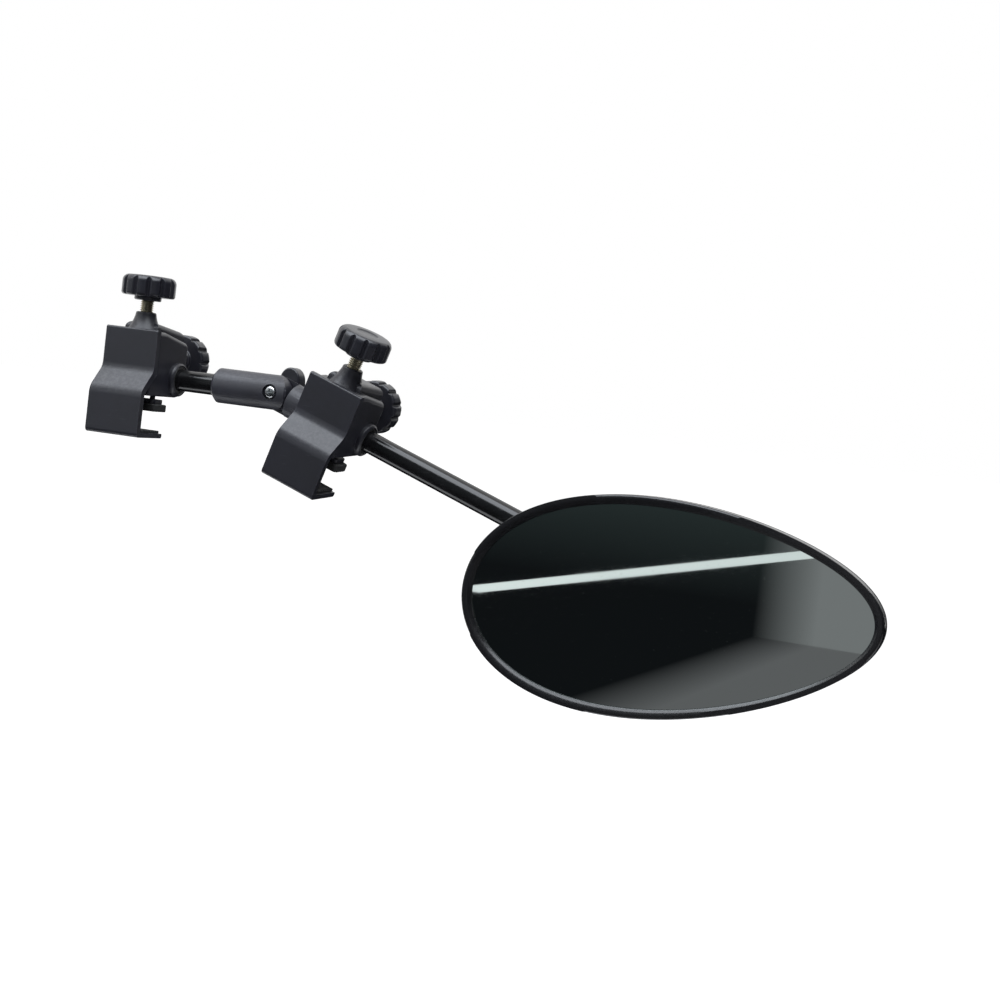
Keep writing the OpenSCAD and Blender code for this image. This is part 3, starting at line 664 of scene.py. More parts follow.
def ribbed(width, length, height, pitch, depth, low, high):
    """Block along X and Y with grooves along X in the face that looks down."""
    outline = [(-length / 2, height), (-length / 2, depth)]
    teeth = int(length / pitch)
    margin = (length - teeth * pitch) / 2
    for i in range(teeth):
        start = -length / 2 + margin + i * pitch
        outline += [(start + low * pitch, depth), (start + low * pitch + 0.3, 0),
                    (start + high * pitch - 0.3, 0), (start + high * pitch, depth)]
    outline += [(length / 2, depth), (length / 2, height)]
    return pushed_out(flat_face(outline), width)


# ---- Clamps ----


def boss(top_r, base_r, start, end, along="Z"):
    """Conical boss that flares out where it grows from the body."""
    steps = 12
    profile = [(0, start)]
    for i in range(steps + 1):
        share = i / steps
        profile.append((top_r + (base_r - top_r) * (1 - share) ** 1.7, start + (end - start) * share))
    profile.append((0, end))
    return round_edges(spun(profile, along=along), 1.1, 3, sharp=60)


def passage(stretches, along="Z", steps=64):
    """Stepped round cutter: each stretch is (radius, start, end), one after the other."""
    profile = [(0, stretches[0][1])]
    for radius, start, end in stretches:
        profile += [(radius, start), (radius, end)]
    return spun(profile + [(0, stretches[-1][2])], steps, along)


def hump():
    """Soft hump along the body's top, falling a little towards the back."""
    bm = block((-HUMP_HALF, 0, 0), (HUMP_HALF, HUMP_H, HUMP_LEN))
    round_edges(bm, HUMP_EDGE, 8, where=lambda a, b: a.y < 0.01 and b.y < 0.01)
    return moved(bm, turn=-90 - HUMP_TILT, about="X", y=HUMP_Y, z=HUMP_TOP)


def clamp_body():
    slope = JOGGLE_STEP / (JOGGLE_HIGH - JOGGLE_LOW)
    joggle_back = JOGGLE_HIGH - PLATE_T * math.tan(math.atan(slope) / 2)
    side = [(BODY_FRONT - CHIN, BODY_BASE), (BODY_FRONT - CHIN, joggle_back - CHIN / slope),
            (BODY_FRONT, joggle_back), (BODY_FRONT, BODY_TOP), (SCREW_Y, BODY_TOP),
            (BODY_BACK, BODY_TOP - BODY_DROP)]
    reach = BODY_BACK - TUBE_Y
    side += arc((TUBE_Y, TUBE_Z), HOUSING_R, math.degrees(math.acos(reach / HOUSING_R)), -90, 24)
    bm = pushed_out(flat_face(side), BODY_W)
    half = BODY_W / 2
    round_edges(bm, 4, 6, where=lambda a, b: a.x == b.x and abs(abs(a.x) - half) < 0.01
                and min(a.z, b.z) > BODY_TOP - BODY_DROP - 0.1 and abs(a.y - b.y) > 1)
    round_edges(bm, 1.4, 3)
    collar = round_edges(rod(COLLAR_R, -COLLAR_HALF, COLLAR_HALF, "X", 128, chamfer=1.5), 0.5, 2, sharp=40)
    bm = joined(bm, moved(collar, y=TUBE_Y, z=TUBE_Z),
                hump(),
                moved(boss(BOSS_R, BOSS_R + 7.6, BODY_TOP - 3.4, BOSS_TOP), y=SCREW_Y),
                moved(boss(BOSS_R, BOSS_R + 5.2, BODY_BACK - 1.5, BACK_BOSS_END, "Y"), z=LOCK_Z),
                block((-SEAT_HALF, BODY_FRONT - 2, SEAT_LOW), (SEAT_HALF, BODY_FRONT + 1, SEAT_HIGH)))
    bore = BUSH_R + RUN
    mouth = COLLAR_HALF
    bush_way = spun([(0, -mouth - 1), (bore + 1.8, -mouth - 1), (bore, -mouth + 0.8), (bore, RIB_X - 1.1),
                     (RIB_R + RUN, RIB_X - 1.1), (RIB_R + RUN, RIB_X + 1.1), (bore, RIB_X + 1.1),
                     (bore, mouth - 0.8), (bore + 1.8, mouth + 1), (0, mouth + 1)], 128, "X")
    slack = SCREW_R + 0.3
    screw_way = spun([(0, BODY_BASE - 4), (slack + 3, BODY_BASE - 4), (slack, BODY_BASE + 0.8),
                      (slack, BODY_TOP - 11), (SCREW_R + 2, BODY_TOP - 11), (SCREW_R + 2, BODY_TOP),
                      (slack, BODY_TOP), (slack, BOSS_TOP - 0.5), (slack + 2, BOSS_TOP + 1.5),
                      (0, BOSS_TOP + 1.5)])
    lock_way = passage([(SCREW_R + 1.6, 20, SHOE_BACK + 3), (slack, SHOE_BACK + 3, SHOE_BACK + 4),
                        (SCREW_R + 1.5, SHOE_BACK + 4, SHOE_BACK + 15),
                        (slack, SHOE_BACK + 15, BACK_BOSS_END + 1)], "Y")
    bm = cut(bm, moved(bush_way, y=TUBE_Y, z=TUBE_Z), moved(screw_way, y=SCREW_Y), moved(lock_way, z=LOCK_Z))
    for side_x in (-1, 1):
        guide = rod(GUIDE_R + 0.1, BODY_BASE - 3, BODY_BASE + 18, steps=32)
        fixing = passage([(SPIGOT_R + RUN, BODY_FRONT - 1, SPIGOT_END), (FIX_R, SPIGOT_END, FIX_SEAT),
                          (3.8, FIX_SEAT, BODY_BACK + 2)], "Y", 48)
        bm = cut(bm, moved(guide, x=side_x * GUIDE_X, y=SCREW_Y), moved(fixing, x=side_x * FIX_X, z=FIX_Z))
    return bm


def jaw_plate():
    back_step = PLATE_FRONT + PLATE_T
    low_front = PLATE_FRONT - JOGGLE_STEP
    low_back = low_front + PLATE_T
    nip = PLATE_T * math.tan(math.atan(JOGGLE_STEP / (JOGGLE_HIGH - JOGGLE_LOW)) / 2)
    corners = {
        (PLATE_FRONT, PLATE_TOP): 1.6, (PLATE_FRONT, JOGGLE_HIGH): 9, (low_front, JOGGLE_LOW): 11,
        (low_front, LIP_BOTTOM): 3.2, (LIP_END, LIP_BOTTOM): 1.5, (LIP_END, -PAD_T): 0.8,
        (low_back, -PAD_T): 0.2, (low_back, JOGGLE_LOW - nip): 6, (back_step, JOGGLE_HIGH - nip): 13,
        (back_step, PLATE_TOP): 0.8,
    }
    bm = pushed_out(rounded_corners(flat_face(list(corners)), corners.items()), PLATE_W)
    round_edges(bm, 2.2, 5, where=lambda a, b: abs(a.x - b.x) < 0.01 and abs(abs(a.x) - PLATE_W / 2) < 0.01
                and abs(a.z - PLATE_TOP) < 0.01 and abs(b.z - PLATE_TOP) < 0.01)
    round_edges(bm, 1.5, 4)
    for side_x in (-1, 1):
        spigot = rod(SPIGOT_R, back_step - 1, SPIGOT_END, "Y", 48, chamfer=0.5)
        hole = rod(FIX_R, PLATE_FRONT + 2, SPIGOT_END + 1, "Y", 32)
        bm = cut(joined(bm, moved(spigot, x=side_x * FIX_X, z=FIX_Z)), moved(hole, x=side_x * FIX_X, z=FIX_Z))
    return bm


def hook_pad():
    """Rubber on the hook and up the plate, with grip ribs along X."""
    back = -PAD_HALF - PAD_T
    outline = [(back, -PAD_T), (PAD_HALF, -PAD_T)]
    pitch, depth = 3, 0.9
    ribs = int(2 * PAD_HALF / pitch)
    for i in range(ribs):
        end = PAD_HALF - i * pitch
        outline += [(end, -depth), (end - 0.4, 0), (end - pitch + 1.2, 0), (end - pitch + 0.8, -depth)]
    outline += [(-PAD_HALF, -depth), (-PAD_HALF, 20), (back, 20)]
    return round_edges(pushed_out(flat_face(outline), 40), 0.25, 2)


def jaw_screws():
    bm = bmesh.new()
    for side_x in (-1, 1):
        screw = threaded_rod(FIX_R, 0.7, PLATE_FRONT + 2.5, FIX_SEAT + 0.5, 20)
        head = moved(pan_head(3.5, 3, 4.6, 1.1, 40), z=FIX_SEAT)
        screw = moved(joined(head, screw), turn=-90, about="X")
        add(bm, moved(screw, x=side_x * FIX_X, z=FIX_Z))
    return bm


def add(bm, extra):
    """Takes in a separate solid, such as the second of two screws."""
    mesh = bpy.data.meshes.new("scratch")
    extra.to_mesh(mesh)
    extra.free()
    bm.from_mesh(mesh)
    bpy.data.meshes.remove(mesh)
    return bm


def foot_carrier():
    bm = block((-18.5, SCREW_Y - 7.5, FOOT_Z), (18.5, SCREW_Y + 7.5, FOOT_TOP))
    round_edges(bm, 3, 6, where=lambda a, b: abs(a.z - b.z) > 1)
    round_edges(bm, 0.7, 3)
    for side_x in (-1, 1):
        pin = rod(GUIDE_R, FOOT_TOP - 1, FOOT_Z + 21, steps=40, chamfer=0.5)
        bm = joined(bm, moved(pin, x=side_x * GUIDE_X, y=SCREW_Y))
    return cut(bm, moved(rod(TIP_R + RUN, FOOT_Z - 1, FOOT_TOP + 1, steps=48), y=SCREW_Y))


def foot_pad():
    """Rubber foot with ribs across its underside and a pocket for the clip."""
    width, depth, height = 43, 18, FOOT_Z - JAW_GAP
    outer = block((-width / 2, -depth / 2, 0), (width / 2, depth / 2, height))
    round_edges(outer, 3.5, 6, where=lambda a, b: abs(a.z - b.z) > 1)
    round_edges(outer, 0.9, 3)
    bm = common(outer, ribbed(width + 2, depth + 2, height + 1, 3, 1.1, 0.1, 0.7))
    bm = cut(bm, rod(6, FOOT_Z - 3 - JAW_GAP, height + 1, steps=48))
    return moved(bm, y=SCREW_Y, z=JAW_GAP)


def clamp_stud():
    thread = threaded_rod(SCREW_R, SCREW_PITCH, FOOT_TOP, KNOB_Z + STUD_IN_KNOB)
    tip = rod(TIP_R, TIP_Z, FOOT_TOP + 1, steps=48, chamfer=0.5)
    return moved(joined(thread, tip), y=SCREW_Y)


def tube_bush():
    """Split liner round the tube, with a snap rib and chamfered ends."""
    inner, end = TUBE_R + RUN, COLLAR_HALF - 0.5
    bm = spun([(inner + 0.5, -end), (BUSH_R - 0.4, -end), (BUSH_R, -end + 0.4), (BUSH_R, RIB_X - 1),
               (RIB_R, RIB_X - 0.7), (RIB_R, RIB_X + 0.7), (BUSH_R, RIB_X + 1), (BUSH_R, end - 0.4),
               (BUSH_R - 0.4, end), (inner + 0.5, end), (inner, end - 0.5), (inner, -end + 0.5)],
              128, "X", closed=True)
    bm = cut(bm, block((-end - 1, -0.75, -BUSH_R - 2), (end + 1, 0.75, -2)))
    return moved(bm, y=TUBE_Y, z=TUBE_Z)


TOWARD_BACK = Matrix.Rotation(-FULL_TURN / 4, 4, "X")
for clamp, place in CLAMPS.items():

    def fit(bm, part, body, slot, at=Matrix.Identity(4)):
        node = f"{clamp}_{part}"
        finished(bm, f"{node}_look", place @ at, f"{clamp}_{body}", slot, [node])

    fit(clamp_body(), "clamp_body", "clamp", "clamp_moulding")
    fit(jaw_plate(), "jaw_plate", "clamp", "clamp_moulding")
    fit(hook_pad(), "hook_pad", "clamp", "rubber_pad")
    fit(jaw_screws(), "jaw_screws", "clamp", "bright_zinc")
    fit(foot_carrier(), "foot_carrier", "foot", "clamp_moulding")
    fit(foot_pad(), "foot_pad", "foot", "rubber_pad")
    fit(clamp_stud(), "clamp_stud", "clamp_screw", "zinc_thread")
    fit(fluted_knob(), "clamp_knob", "clamp_screw", "knob_plastic", shifted(y=SCREW_Y, z=KNOB_Z))
    fit(threaded_rod(SCREW_R, SCREW_PITCH, SHOE_BACK, KNOB_Y + STUD_IN_KNOB), "lock_stud", "lock_screw",
        "zinc_thread", shifted(z=LOCK_Z) @ TOWARD_BACK)
    fit(fluted_knob(), "lock_knob", "lock_screw", "knob_plastic", shifted(y=KNOB_Y, z=LOCK_Z) @ TOWARD_BACK)
    fit(tube_bush(), "tube_bush", "bush", "liner_plastic")

# ---- Arm ----


def tube(start, end, holes):
    """Round tube along X with rounded rims and cross holes for its pins."""
    inner = TUBE_R - TUBE_WALL
    bm = spun([(inner, start + 0.3), (inner + 0.3, start), (TUBE_R - 0.5, start), (TUBE_R, start + 0.5),
               (TUBE_R, end - 0.5), (TUBE_R - 0.5, end), (inner + 0.3, end), (inner, end - 0.3)],
              128, "X", closed=True)
    for x in holes:
        bm = cut(bm, moved(rod(PIN_R, -SLEEVE_R, SLEEVE_R, "Y", 32), x=x))
    return bm


def tube_plug():
    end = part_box("inner_tube_plug")[0].x / MM
    head_r = TUBE_R - HAIRLINE
    bm = spun([(0, end), (head_r, end), (head_r, end + 2), (TUBE_R - TUBE_WALL, end + 2),
               (TUBE_R - TUBE_WALL, end + 14), (0, end + 14)], 96, "X")
    round_edges(bm, 1.2, 5, where=lambda a, b: abs(a.x - end) < 0.01 and abs(b.x - end) < 0.01)
    return moved(bm, y=TUBE_Y, z=TUBE_Z)


def lap_half(outer_end, chamfer, side):
    """Moulded socket along X that ends in half of the lap joint: side -1 keeps the driver's half."""
    start, end = sorted((outer_end, -math.copysign(SLEEVE_R + 1, outer_end)))
    bar = rod(SLEEVE_R, start, end, "X", 128, chamfer=chamfer)
    beyond = 3 * SLEEVE_R
    clearance = 0.5
    if outer_end < 0:
        stay = block((start - 1, -beyond, -beyond), (0, beyond, beyond))
        lap_from, lap_to = -LAP, SLEEVE_R + 3
    else:
        stay = block((0, -beyond, -beyond), (end + 1, beyond, beyond))
        lap_from, lap_to = -SLEEVE_R - 3, LAP
    keep = joined(stay, rod(SLEEVE_R, -beyond + 1, beyond - 1, "Y", 128))
    bm = common(bar, keep)
    if side < 0:
        away = block((lap_from, -clearance, -beyond), (lap_to, beyond + 2, beyond))
    else:
        away = block((lap_from, -beyond - 2, -beyond), (lap_to, clearance, beyond))
    return cut(bm, away)


def hinge_sleeve():
    bm = lap_half(-SLEEVE_LEN, 2.4, -1)
    round_edges(bm, 0.8, 3, sharp=35)
    bore = rod(TUBE_R, -SLEEVE_LEN - 1, -LAP - 6, "X", 96)
    bolt_way = passage([(BOLT_RECESS_R, -SLEEVE_R - 1, -SPOT_FACE), (BOLT_R, -SPOT_FACE, 1)], "Y", 64)
    pin_way = moved(rod(PIN_R, 0, SLEEVE_R + 1, "Y", 40), x=SLEEVE_PIN_X)
    return cut(bm, bore, bolt_way, pin_way)


def outer_knuckle():
    bm = lap_half(KNUCKLE_LEN, 2, 1)
    round_edges(bm, 0.8, 3, sharp=35)
    bore = rod(TUBE_R, LAP + 2, KNUCKLE_LEN + 1, "X", 96)
    bolt_way = rod(BOLT_R + RUN, 0, SLEEVE_R + 1, "Y", 48)
    seat = rod(SLEEVE_R, SPOT_FACE, SLEEVE_R + 1, "Y", 96)
    pin_way = moved(rod(PIN_R, 0, SLEEVE_R + 1, "Y", 40), x=KNUCKLE_PIN_X)
    return cut(bm, bore, bolt_way, seat, pin_way)


def hinge_bolt():
    head = moved(pan_head(BOLT_HEAD_R, BOLT_HEAD_T, 5.4, 1.2, 80), turn=90, about="X", y=-SPOT_FACE)
    end = SPOT_FACE + WASHER_T + 0.1 + STAR_NECK + 8
    smooth = rod(BOLT_R, -SPOT_FACE - 0.5, SPOT_FACE, "Y", 48)
    thread = moved(threaded_rod(BOLT_R, 1, SPOT_FACE - 1, end, 24), turn=-90, about="X")
    return joined(head, smooth, thread)


def ring(outer, inner, start, end, along, rounding=0.25, steps=96):
    bm = spun([(inner, start), (outer, start), (outer, end), (inner, end)], steps, along, closed=True)
    return round_edges(bm, rounding, 2)


def star_knob():
    """Three soft lobes on a neck, one lobe up."""
    bm = bmesh.new()
    bmesh.ops.create_circle(bm, cap_ends=True, segments=120, radius=1)
    for v in bm.verts:
        lobe = (1 + math.cos(3 * (math.atan2(v.co.y, v.co.x) - math.pi / 2))) / 2
        v.co.xy *= STAR_WAIST + (STAR_TIP - STAR_WAIST) * lobe ** 0.85
    top = bmesh.ops.extrude_face_region(bm, geom=bm.faces[:], use_keep_orig=True)["geom"]
    bmesh.ops.translate(bm, vec=(0, 0, STAR_T), verts=[g for g in top if isinstance(g, bmesh.types.BMVert)])
    bmesh.ops.recalc_face_normals(bm, faces=bm.faces)
    round_edges(bm, 2.4, 6, sharp=60)
    moved(bm, z=STAR_NECK)
    neck = rod(7, 0, STAR_NECK + 1, steps=64, chamfer=0.4)
    bm = cut(joined(bm, neck), rod(BOLT_R + RUN, -1, STAR_NECK + 8.5, steps=40))
    moved(bm, turn=-90, about="X", y=SPOT_FACE + WASHER_T)
    return moved(bm, turn=180, about="Y")


AS_DRAWN = Matrix.Identity(4)
tube_start, tube_end = [corner.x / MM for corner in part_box("inner_tube")]
inner_tube = moved(tube(tube_start, tube_end, [PIVOT.translation.x + SLEEVE_PIN_X]), y=TUBE_Y, z=TUBE_Z)
finished(inner_tube, "inner_tube_look", AS_DRAWN, "arm_inner", "tube_paint", ["inner_tube"])
finished(tube_plug(), "inner_tube_plug_look", AS_DRAWN, "arm_inner", "rubber_pad", ["inner_tube_plug"])
finished(hinge_sleeve(), "hinge_sleeve_look", PIVOT, "arm_inner", "arm_moulding", ["hinge_sleeve"])
finished(hinge_bolt(), "hinge_bolt_look", PIVOT, "arm_inner", "bright_zinc", ["hinge_bolt"])
finished(ring(7, BOLT_R + RUN, SPOT_FACE, SPOT_FACE + WASHER_T, "Y"), "hinge_washer_look", PIVOT,
         "hinge_washer", "bright_zinc", ["hinge_knob_washer"])
finished(star_knob(), "hinge_star_knob_look", PIVOT, "hinge_knob", "knob_plastic", ["hinge_star_knob"])
finished(outer_knuckle(), "outer_knuckle_look", OUTER_ARM, "arm_outer", "arm_moulding", ["outer_knuckle"])
outer_tube = tube(LAP + 2, ball_on_arm.x - FITTING_AFTER, [KNUCKLE_PIN_X, ball_on_arm.x + FITTING_PIN_X])
finished(outer_tube, "outer_tube_look", OUTER_ARM, "arm_outer", "tube_paint", ["outer_tube"])

# ---- Ball joint ----


def ball_fitting():
    bm = rod(FITTING_R, -FITTING_BEFORE, FITTING_AFTER, "X", 128, chamfer=2)
    round_edges(bm, 0.8, 3, sharp=30)
    bm = cut(bm, rod(TUBE_R, -FITTING_BEFORE - 1, -FITTING_AFTER, "X", 96))
    bm = cut(bm, rod(SHANK_R + RUN, -FITTING_R - 1, FITTING_R + 1, "Y", 48),
             rod(9, FITTING_R - 1, FITTING_R + 2, "Y", 64),
             rod(NECK_R + 2, -FITTING_R - 2, -FITTING_R + 1, "Y", 64))
    return cut(bm, moved(rod(PIN_R, -1, FITTING_R + 1, "Y", 32), x=FITTING_PIN_X))


def ball_stud():
    ball = [(BALL_R * math.sin(a), -BALL_R * math.cos(a)) for a in (math.pi * i / 40 for i in range(34))]
    neck_end = NECK_REACH - FITTING_R + 1 - HAIRLINE
    profile = ball + [(NECK_R, BALL_R * 0.9), (NECK_R, neck_end - 0.5), (NECK_R - 0.5, neck_end),
                      (SHANK_R, neck_end), (SHANK_R, NECK_REACH + FITTING_R), (0, NECK_REACH + FITTING_R)]
    bm = spun(profile, 96, "Y")
    thread = threaded_rod(SHANK_R, 1.25, NECK_REACH + FITTING_R - 1, NECK_REACH + FITTING_R + 8, 28)
    return joined(bm, moved(thread, turn=-90, about="X"))


def hex_nut(across, height, bore):
    """Hexagon nut along Z with both faces chamfered round."""
    bm = bmesh.new()
    bmesh.ops.create_cone(bm, cap_ends=True, segments=6, radius1=across, radius2=across, depth=height)
    moved(bm, z=height / 2, turn=30)
    bm.normal_update()
    edge = 0.09 * across
    limit = spun([(0, 0), (across - 1.6 * edge, 0), (across, edge), (across, height - edge),
                  (across - 1.6 * edge, height), (0, height)], 96)
    bm = common(bm, limit)
    way = spun([(0, -1), (bore + 1.6, -1), (bore, 0.6), (bore, height - 0.6), (bore + 1.6, height + 1),
                (0, height + 1)], 64)
    return cut(bm, way)


washer_y = NECK_REACH + FITTING_R - 1
finished(ball_fitting(), "ball_fitting_look", FITTING, "arm_outer", "arm_moulding", ["ball_fitting"])
finished(ball_stud(), "ball_stud_look", BALL, "pivot_stud", "bright_zinc", ["ball_stud"])
finished(ring(8, SHANK_R, washer_y, washer_y + 1.4, "Y"), "ball_stud_washer_look", BALL, "pivot_stud",
         "bright_zinc", ["ball_stud_washer"])
finished(moved(hex_nut(7.5, 6.5, SHANK_R), turn=-90, about="X", y=washer_y + 1.4), "ball_stud_nut_look", BALL,
         "pivot_stud", "bright_zinc", ["ball_stud_nut"])

# ---- Head ----

HEAD = BALL @ shifted(z=HEAD_RISE) @ Matrix.Rotation(math.radians(-HEAD_LEAN), 4, "Y")


def egg_loop(bm, inset, y, share=1.0, points=192):
    """Closed loop of edges along the egg outline, drawn in by the inset and scaled about its middle."""
    circle = bmesh.ops.create_circle(bm, cap_ends=False, segments=points, radius=1)["verts"]
    for v in circle:
        t = math.atan2(v.co.y, v.co.x)
        v.co = (share * (HEAD_A - inset) * math.cos(t), y,
                share * (HEAD_B - inset) * math.sin(t) * (1 - EGG * math.cos(t)))
    return list({e for v in circle for e in v.link_edges})


def egg_solid(profile, closed=False):
    """Surface through egg loops, given as (inset, y) or (inset, y, share), capped unless it is closed."""
    bm = bmesh.new()
    loops = [egg_loop(bm, *step) for step in profile]
    pairs = list(zip(loops, loops[1:]))
    if closed:
        pairs.append((loops[-1], loops[0]))
    for pair in pairs:
        bmesh.ops.bridge_loops(bm, edges=pair[0] + pair[1])
    if not closed:
        for end in (loops[0], loops[-1]):
            bmesh.ops.edgeloop_fill(bm, edges=end)
    bmesh.ops.recalc_face_normals(bm, faces=bm.faces)
    return bm


def head_shell():
    """Domed shell: loops follow a quarter of a rounded curve from the rim to the flat back."""
    def dome(inset, back, front):
        depth, steps = back - SHELL_RIM - RIM_H, 20
        loops = [(inset, front), (inset, SHELL_RIM + RIM_H)]
        for i in range(1, steps + 1):
            t = math.pi / 2 * i / steps
            share = SHELL_FLAT + (1 - SHELL_FLAT) * math.cos(t)
            loops.append((inset, back - depth * (1 - math.sin(t)), share))
        return loops
    outer = dome(0, SHELL_BACK, SHELL_RIM)
    inner = dome(SHELL_T, SHELL_BACK - SHELL_T, SHELL_RIM - 1)
    bm = cut(egg_solid(outer), egg_solid(inner))
    round_edges(bm, 0.4, 2, where=lambda a, b: a.y < SHELL_RIM + 0.01 and b.y < SHELL_RIM + 0.01, sharp=60)
    centre = HEAD.inverted() @ spot("head_turn")
    mouth = spun([(0, -2), (MOUTH_R, -2), (MOUTH_R, SHELL_BACK - 0.8), (MOUTH_R + 2, SHELL_BACK + 1.2),
                  (0, SHELL_BACK + 1.2)], 96, "Y")
    bm = cut(bm, moved(mouth, x=centre.x, z=centre.z))
    for turn in SOCKET_SCREW_TURNS:
        hole = moved(rod(SOCKET_SCREW_R, 0, SHELL_BACK + 1, "Y", 32), x=SOCKET_SCREW_AT)
        moved(hole, turn=turn + HEAD_LEAN, about="Y")
        bm = cut(bm, moved(hole, x=centre.x, z=centre.z))
    return bm


def head_bezel():
    """Rim round the glass: rounded outside, a lip that slopes in to the glass, a rebate and a spigot."""
    spigot = SHELL_T + 0.1
    profile = [(0, SHELL_RIM), (0, BEZEL_FRONT), (BEZEL_W - 2.2, BEZEL_FRONT), (BEZEL_W, BEZEL_FRONT + 2.6),
               (BEZEL_W, GLASS_FRONT), (GLASS_INSET, GLASS_FRONT), (GLASS_INSET, SHELL_RIM + 2),
               (spigot, SHELL_RIM + 2), (spigot, SHELL_RIM)]
    bm = egg_solid(profile, closed=True)
    round_edges(bm, 3.6, 8, where=lambda a, b: on_rim(a) and on_rim(b) and a.y < BEZEL_FRONT + 0.01
                and b.y < BEZEL_FRONT + 0.01)
    round_edges(bm, 0.5, 2, sharp=30, where=lambda a, b: abs(a.y - b.y) < 0.01)
    return bm


def on_rim(point):
    """True near the head's outline, which is close to an ellipse on its wide half."""
    across, up = point.x / HEAD_A, point.z / HEAD_B
    near_ellipse = abs(abs(across) - abs(math.cos(math.atan2(up, across)))) < 0.02
    return near_ellipse and math.hypot(across, up) > 0.86


def mirror_glass():
    """Silvered glass with ground bevels round its edge."""
    bevel = 0.5
    return egg_solid([(GLASS_INSET + bevel, GLASS_FRONT), (GLASS_INSET, GLASS_FRONT + bevel),
                      (GLASS_INSET, GLASS_BACK - bevel), (GLASS_INSET + bevel, GLASS_BACK)])


def socket_screws():
    bm = bmesh.new()
    for turn in SOCKET_SCREW_TURNS:
        thread = threaded_rod(SOCKET_SCREW_R, 0.8, -9, 0.5, 20)
        screw = moved(joined(pan_head(3.6, 2.2, 4.4, 0.9, 48), thread), turn=-90, about="X", y=SHELL_BACK)
        add(bm, moved(moved(screw, x=SOCKET_SCREW_AT), turn=turn, about="Y"))
    return bm


finished(head_shell(), "head_shell_look", HEAD, "head", "head_shell", ["head_shell"])
finished(head_bezel(), "head_bezel_look", HEAD, "head", "bezel", ["head_bezel"])
finished(mirror_glass(), "mirror_glass_look", HEAD, "head", "mirror_glass", ["mirror_glass"], sharp=25)
finished(socket_screws(), "socket_screws_look", BALL, "head", "bright_zinc", ["socket_screws"])

# ---- Stage: floor, lamps, panels that only reflections see, and camera ----

PANEL_Z = cad_box[0].z
FLOOR_Z = PANEL_Z - 0.42        # low enough for the head when the arm hangs down
FLOOR_R = 30
scene.view_settings.view_transform = "Standard"


def seen_white(tree):
    """1 for camera, glossy and transmission rays."""
    rays = tree.nodes.new("ShaderNodeLightPath").outputs
    total = math_node(tree, "MAXIMUM", rays["Is Camera Ray"], rays["Is Glossy Ray"])
    return math_node(tree, "MAXIMUM", total, rays["Is Transmission Ray"])


def studio_world(level):
    world = bpy.data.worlds.new("studio")
    scene.world = world
    world.use_nodes = True
    tree = world.node_tree
    backdrop = tree.nodes["Background"]
    backdrop.inputs["Color"].default_value = (1, 1, 1, 1)
    link(tree, ranged(tree, seen_white(tree), 0, 1, level, 1.0), backdrop.inputs["Strength"])


def staged(bm, name):
    """Object and node tree of a stage piece."""
    mesh = bpy.data.meshes.new(name)
    bm.to_mesh(mesh)
    thing = bpy.data.objects.new(name, mesh)
    scene.collection.objects.link(thing)
    look = bpy.data.materials.new(name)
    look.use_nodes = True
    mesh.materials.append(look)
    return thing, look.node_tree


def pale_floor():
    bm = bmesh.new()
    bmesh.ops.create_circle(bm, cap_ends=True, segments=64, radius=FLOOR_R)
    bm.transform(shifted(z=FLOOR_Z))
    floor, tree = staged(bm, "floor")
    shader = tree.nodes["Principled BSDF"]
    shader.inputs["Base Color"].default_value = (0.86, 0.86, 0.86, 1)
    shader.inputs["Roughness"].default_value = 0.9
    shader.inputs["Emission Color"].default_value = (1, 1, 1, 1)
    link(tree, ranged(tree, seen_white(tree), 0, 1, 0, 0.76), shader.inputs["Emission Strength"])


def softbox(name, place, target, size, power, colour=(1, 1, 1)):
    lamp = bpy.data.lights.new(name, "AREA")
    lamp.shape = "RECTANGLE"
    lamp.size, lamp.size_y = size
    lamp.energy = power
    lamp.color = colour
    holder = bpy.data.objects.new(name, lamp)
    scene.collection.objects.link(holder)
    aim = Vector(target) - Vector(place)
    holder.matrix_world = Matrix.Translation(place) @ aim.to_track_quat("-Z", "Y").to_matrix().to_4x4()


def panel(name, place, size, turn, colours):
    """Studio panel that only reflections see. colours(tree, position) gives its glow."""
    bm = bmesh.new()
    bmesh.ops.create_grid(bm, x_segments=1, y_segments=1, size=0.5)
    bm.transform(Matrix.Translation(place) @ turn @ Matrix.Diagonal((*size, 1, 1)))
    flag, tree = staged(bm, name)
    for kind in ("visible_camera", "visible_diffuse", "visible_shadow", "visible_transmission"):
        setattr(flag, kind, False)
    tree.nodes.remove(tree.nodes["Principled BSDF"])
    glow = tree.nodes.new("ShaderNodeEmission")
    position = tree.nodes.new("ShaderNodeSeparateXYZ")
    link(tree, tree.nodes.new("ShaderNodeTexCoord").outputs["Object"], position.inputs["Vector"])
    link(tree, colours(tree, position.outputs), glow.inputs["Color"])
    link(tree, glow.outputs["Emission"], tree.nodes["Material Output"].inputs["Surface"])


BLACK_GLOSS = (0.006, 0.007, 0.008, 1)
FAR_SIDE = (0.36, 0.42)         # along X: where the panels change from black to grey


def front_tones(tree, position):
    """Black low down, dark green-grey above, mid grey towards the far side."""
    rise = ranged(tree, position["Z"], PANEL_Z + 0.03, PANEL_Z + 0.22)
    shade = mixed(tree, rise, BLACK_GLOSS, (0.045, 0.06, 0.06, 1))
    aside = ranged(tree, position["X"], *FAR_SIDE)
    return mixed(tree, aside, shade, (0.2, 0.205, 0.21, 1))


def floor_tones(tree, position):
    aside = ranged(tree, position["X"], *FAR_SIDE)
    return mixed(tree, aside, BLACK_GLOSS, (0.13, 0.13, 0.135, 1))


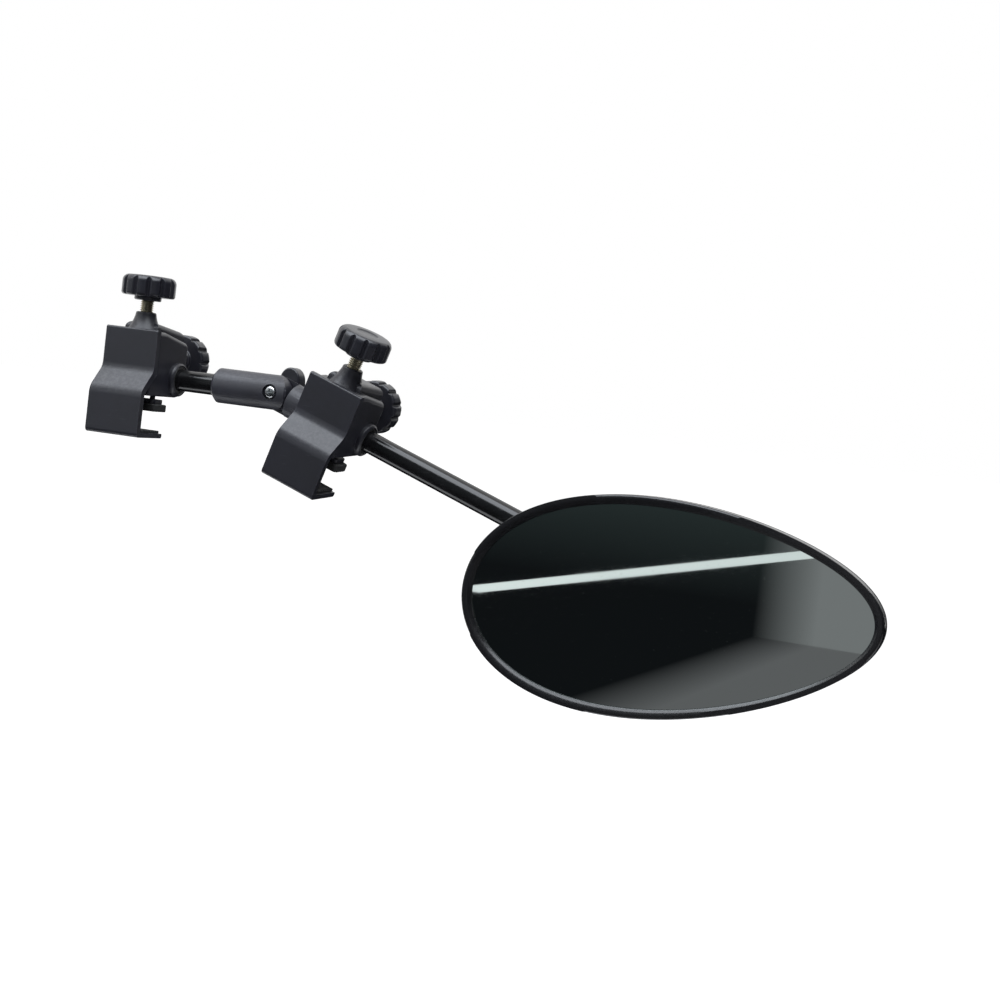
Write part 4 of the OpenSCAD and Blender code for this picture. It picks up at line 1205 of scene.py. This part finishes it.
def side_tones(tree, position):
    return mixed(tree, ranged(tree, position["Z"], 0.0, 0.9), (0.008, 0.009, 0.01, 1), (0.06, 0.066, 0.07, 1))


def strip_tones(tree, position):
    return mixed(tree, ranged(tree, position["X"], 0.0, 0.4), (0.9, 0.95, 0.95, 1), (0.75, 0.8, 0.8, 1))


studio_world(0.3)
pale_floor()
softbox("overhead", (0.25, -0.55, 1.7), (0.2, 0, 0), (3.0, 1.4), 58, (0.86, 0.92, 1.0))
softbox("left front", (-1.3, -1.4, 0.7), (0.15, 0, 0.02), (1.0, 1.1), 20, (0.94, 0.97, 1.0))
LEVEL = Matrix.Identity(4)
UPRIGHT = Matrix.Rotation(FULL_TURN / 4, 4, "X")
SIDEWAYS = Matrix.Rotation(FULL_TURN / 4, 4, "Z") @ UPRIGHT
SLANTING = Matrix.Rotation(math.radians(-14), 4, "Y") @ UPRIGHT
panel("front panel", (-0.3, -0.6, PANEL_Z + 0.4), (4.4, 0.8), UPRIGHT, front_tones)
panel("floor panel", (0.3, -0.3125, PANEL_Z + 0.0005), (3.6, 0.575), LEVEL, floor_tones)
panel("floor panel behind", (0.9, 0.7, PANEL_Z + 0.0005), (2.4, 1.3), LEVEL, side_tones)
panel("side panel", (0.95, 1.4, PANEL_Z + 0.55), (4.0, 1.1), SIDEWAYS, side_tones)
panel("strip light", (0.225, -0.598, -0.104), (0.41, 0.008), SLANTING, strip_tones)

CAMERA_PLACE, LENS = (0.774, -1.2467, 0.0647), 69.95
CAMERA_HEADING, CAMERA_PITCH, CAMERA_ROLL = 20.76, -3.39, 6.835
camera_data = bpy.data.cameras.new("camera")
camera_data.lens = LENS
camera_data.sensor_width = 36
camera = bpy.data.objects.new("camera", camera_data)
scene.collection.objects.link(camera)
camera.matrix_world = (
    Matrix.Translation(CAMERA_PLACE)
    @ Matrix.Rotation(math.radians(CAMERA_HEADING), 4, "Z")
    @ Matrix.Rotation(math.radians(90 + CAMERA_PITCH), 4, "X")
    @ Matrix.Rotation(math.radians(CAMERA_ROLL), 4, "Z"))
scene.camera = camera
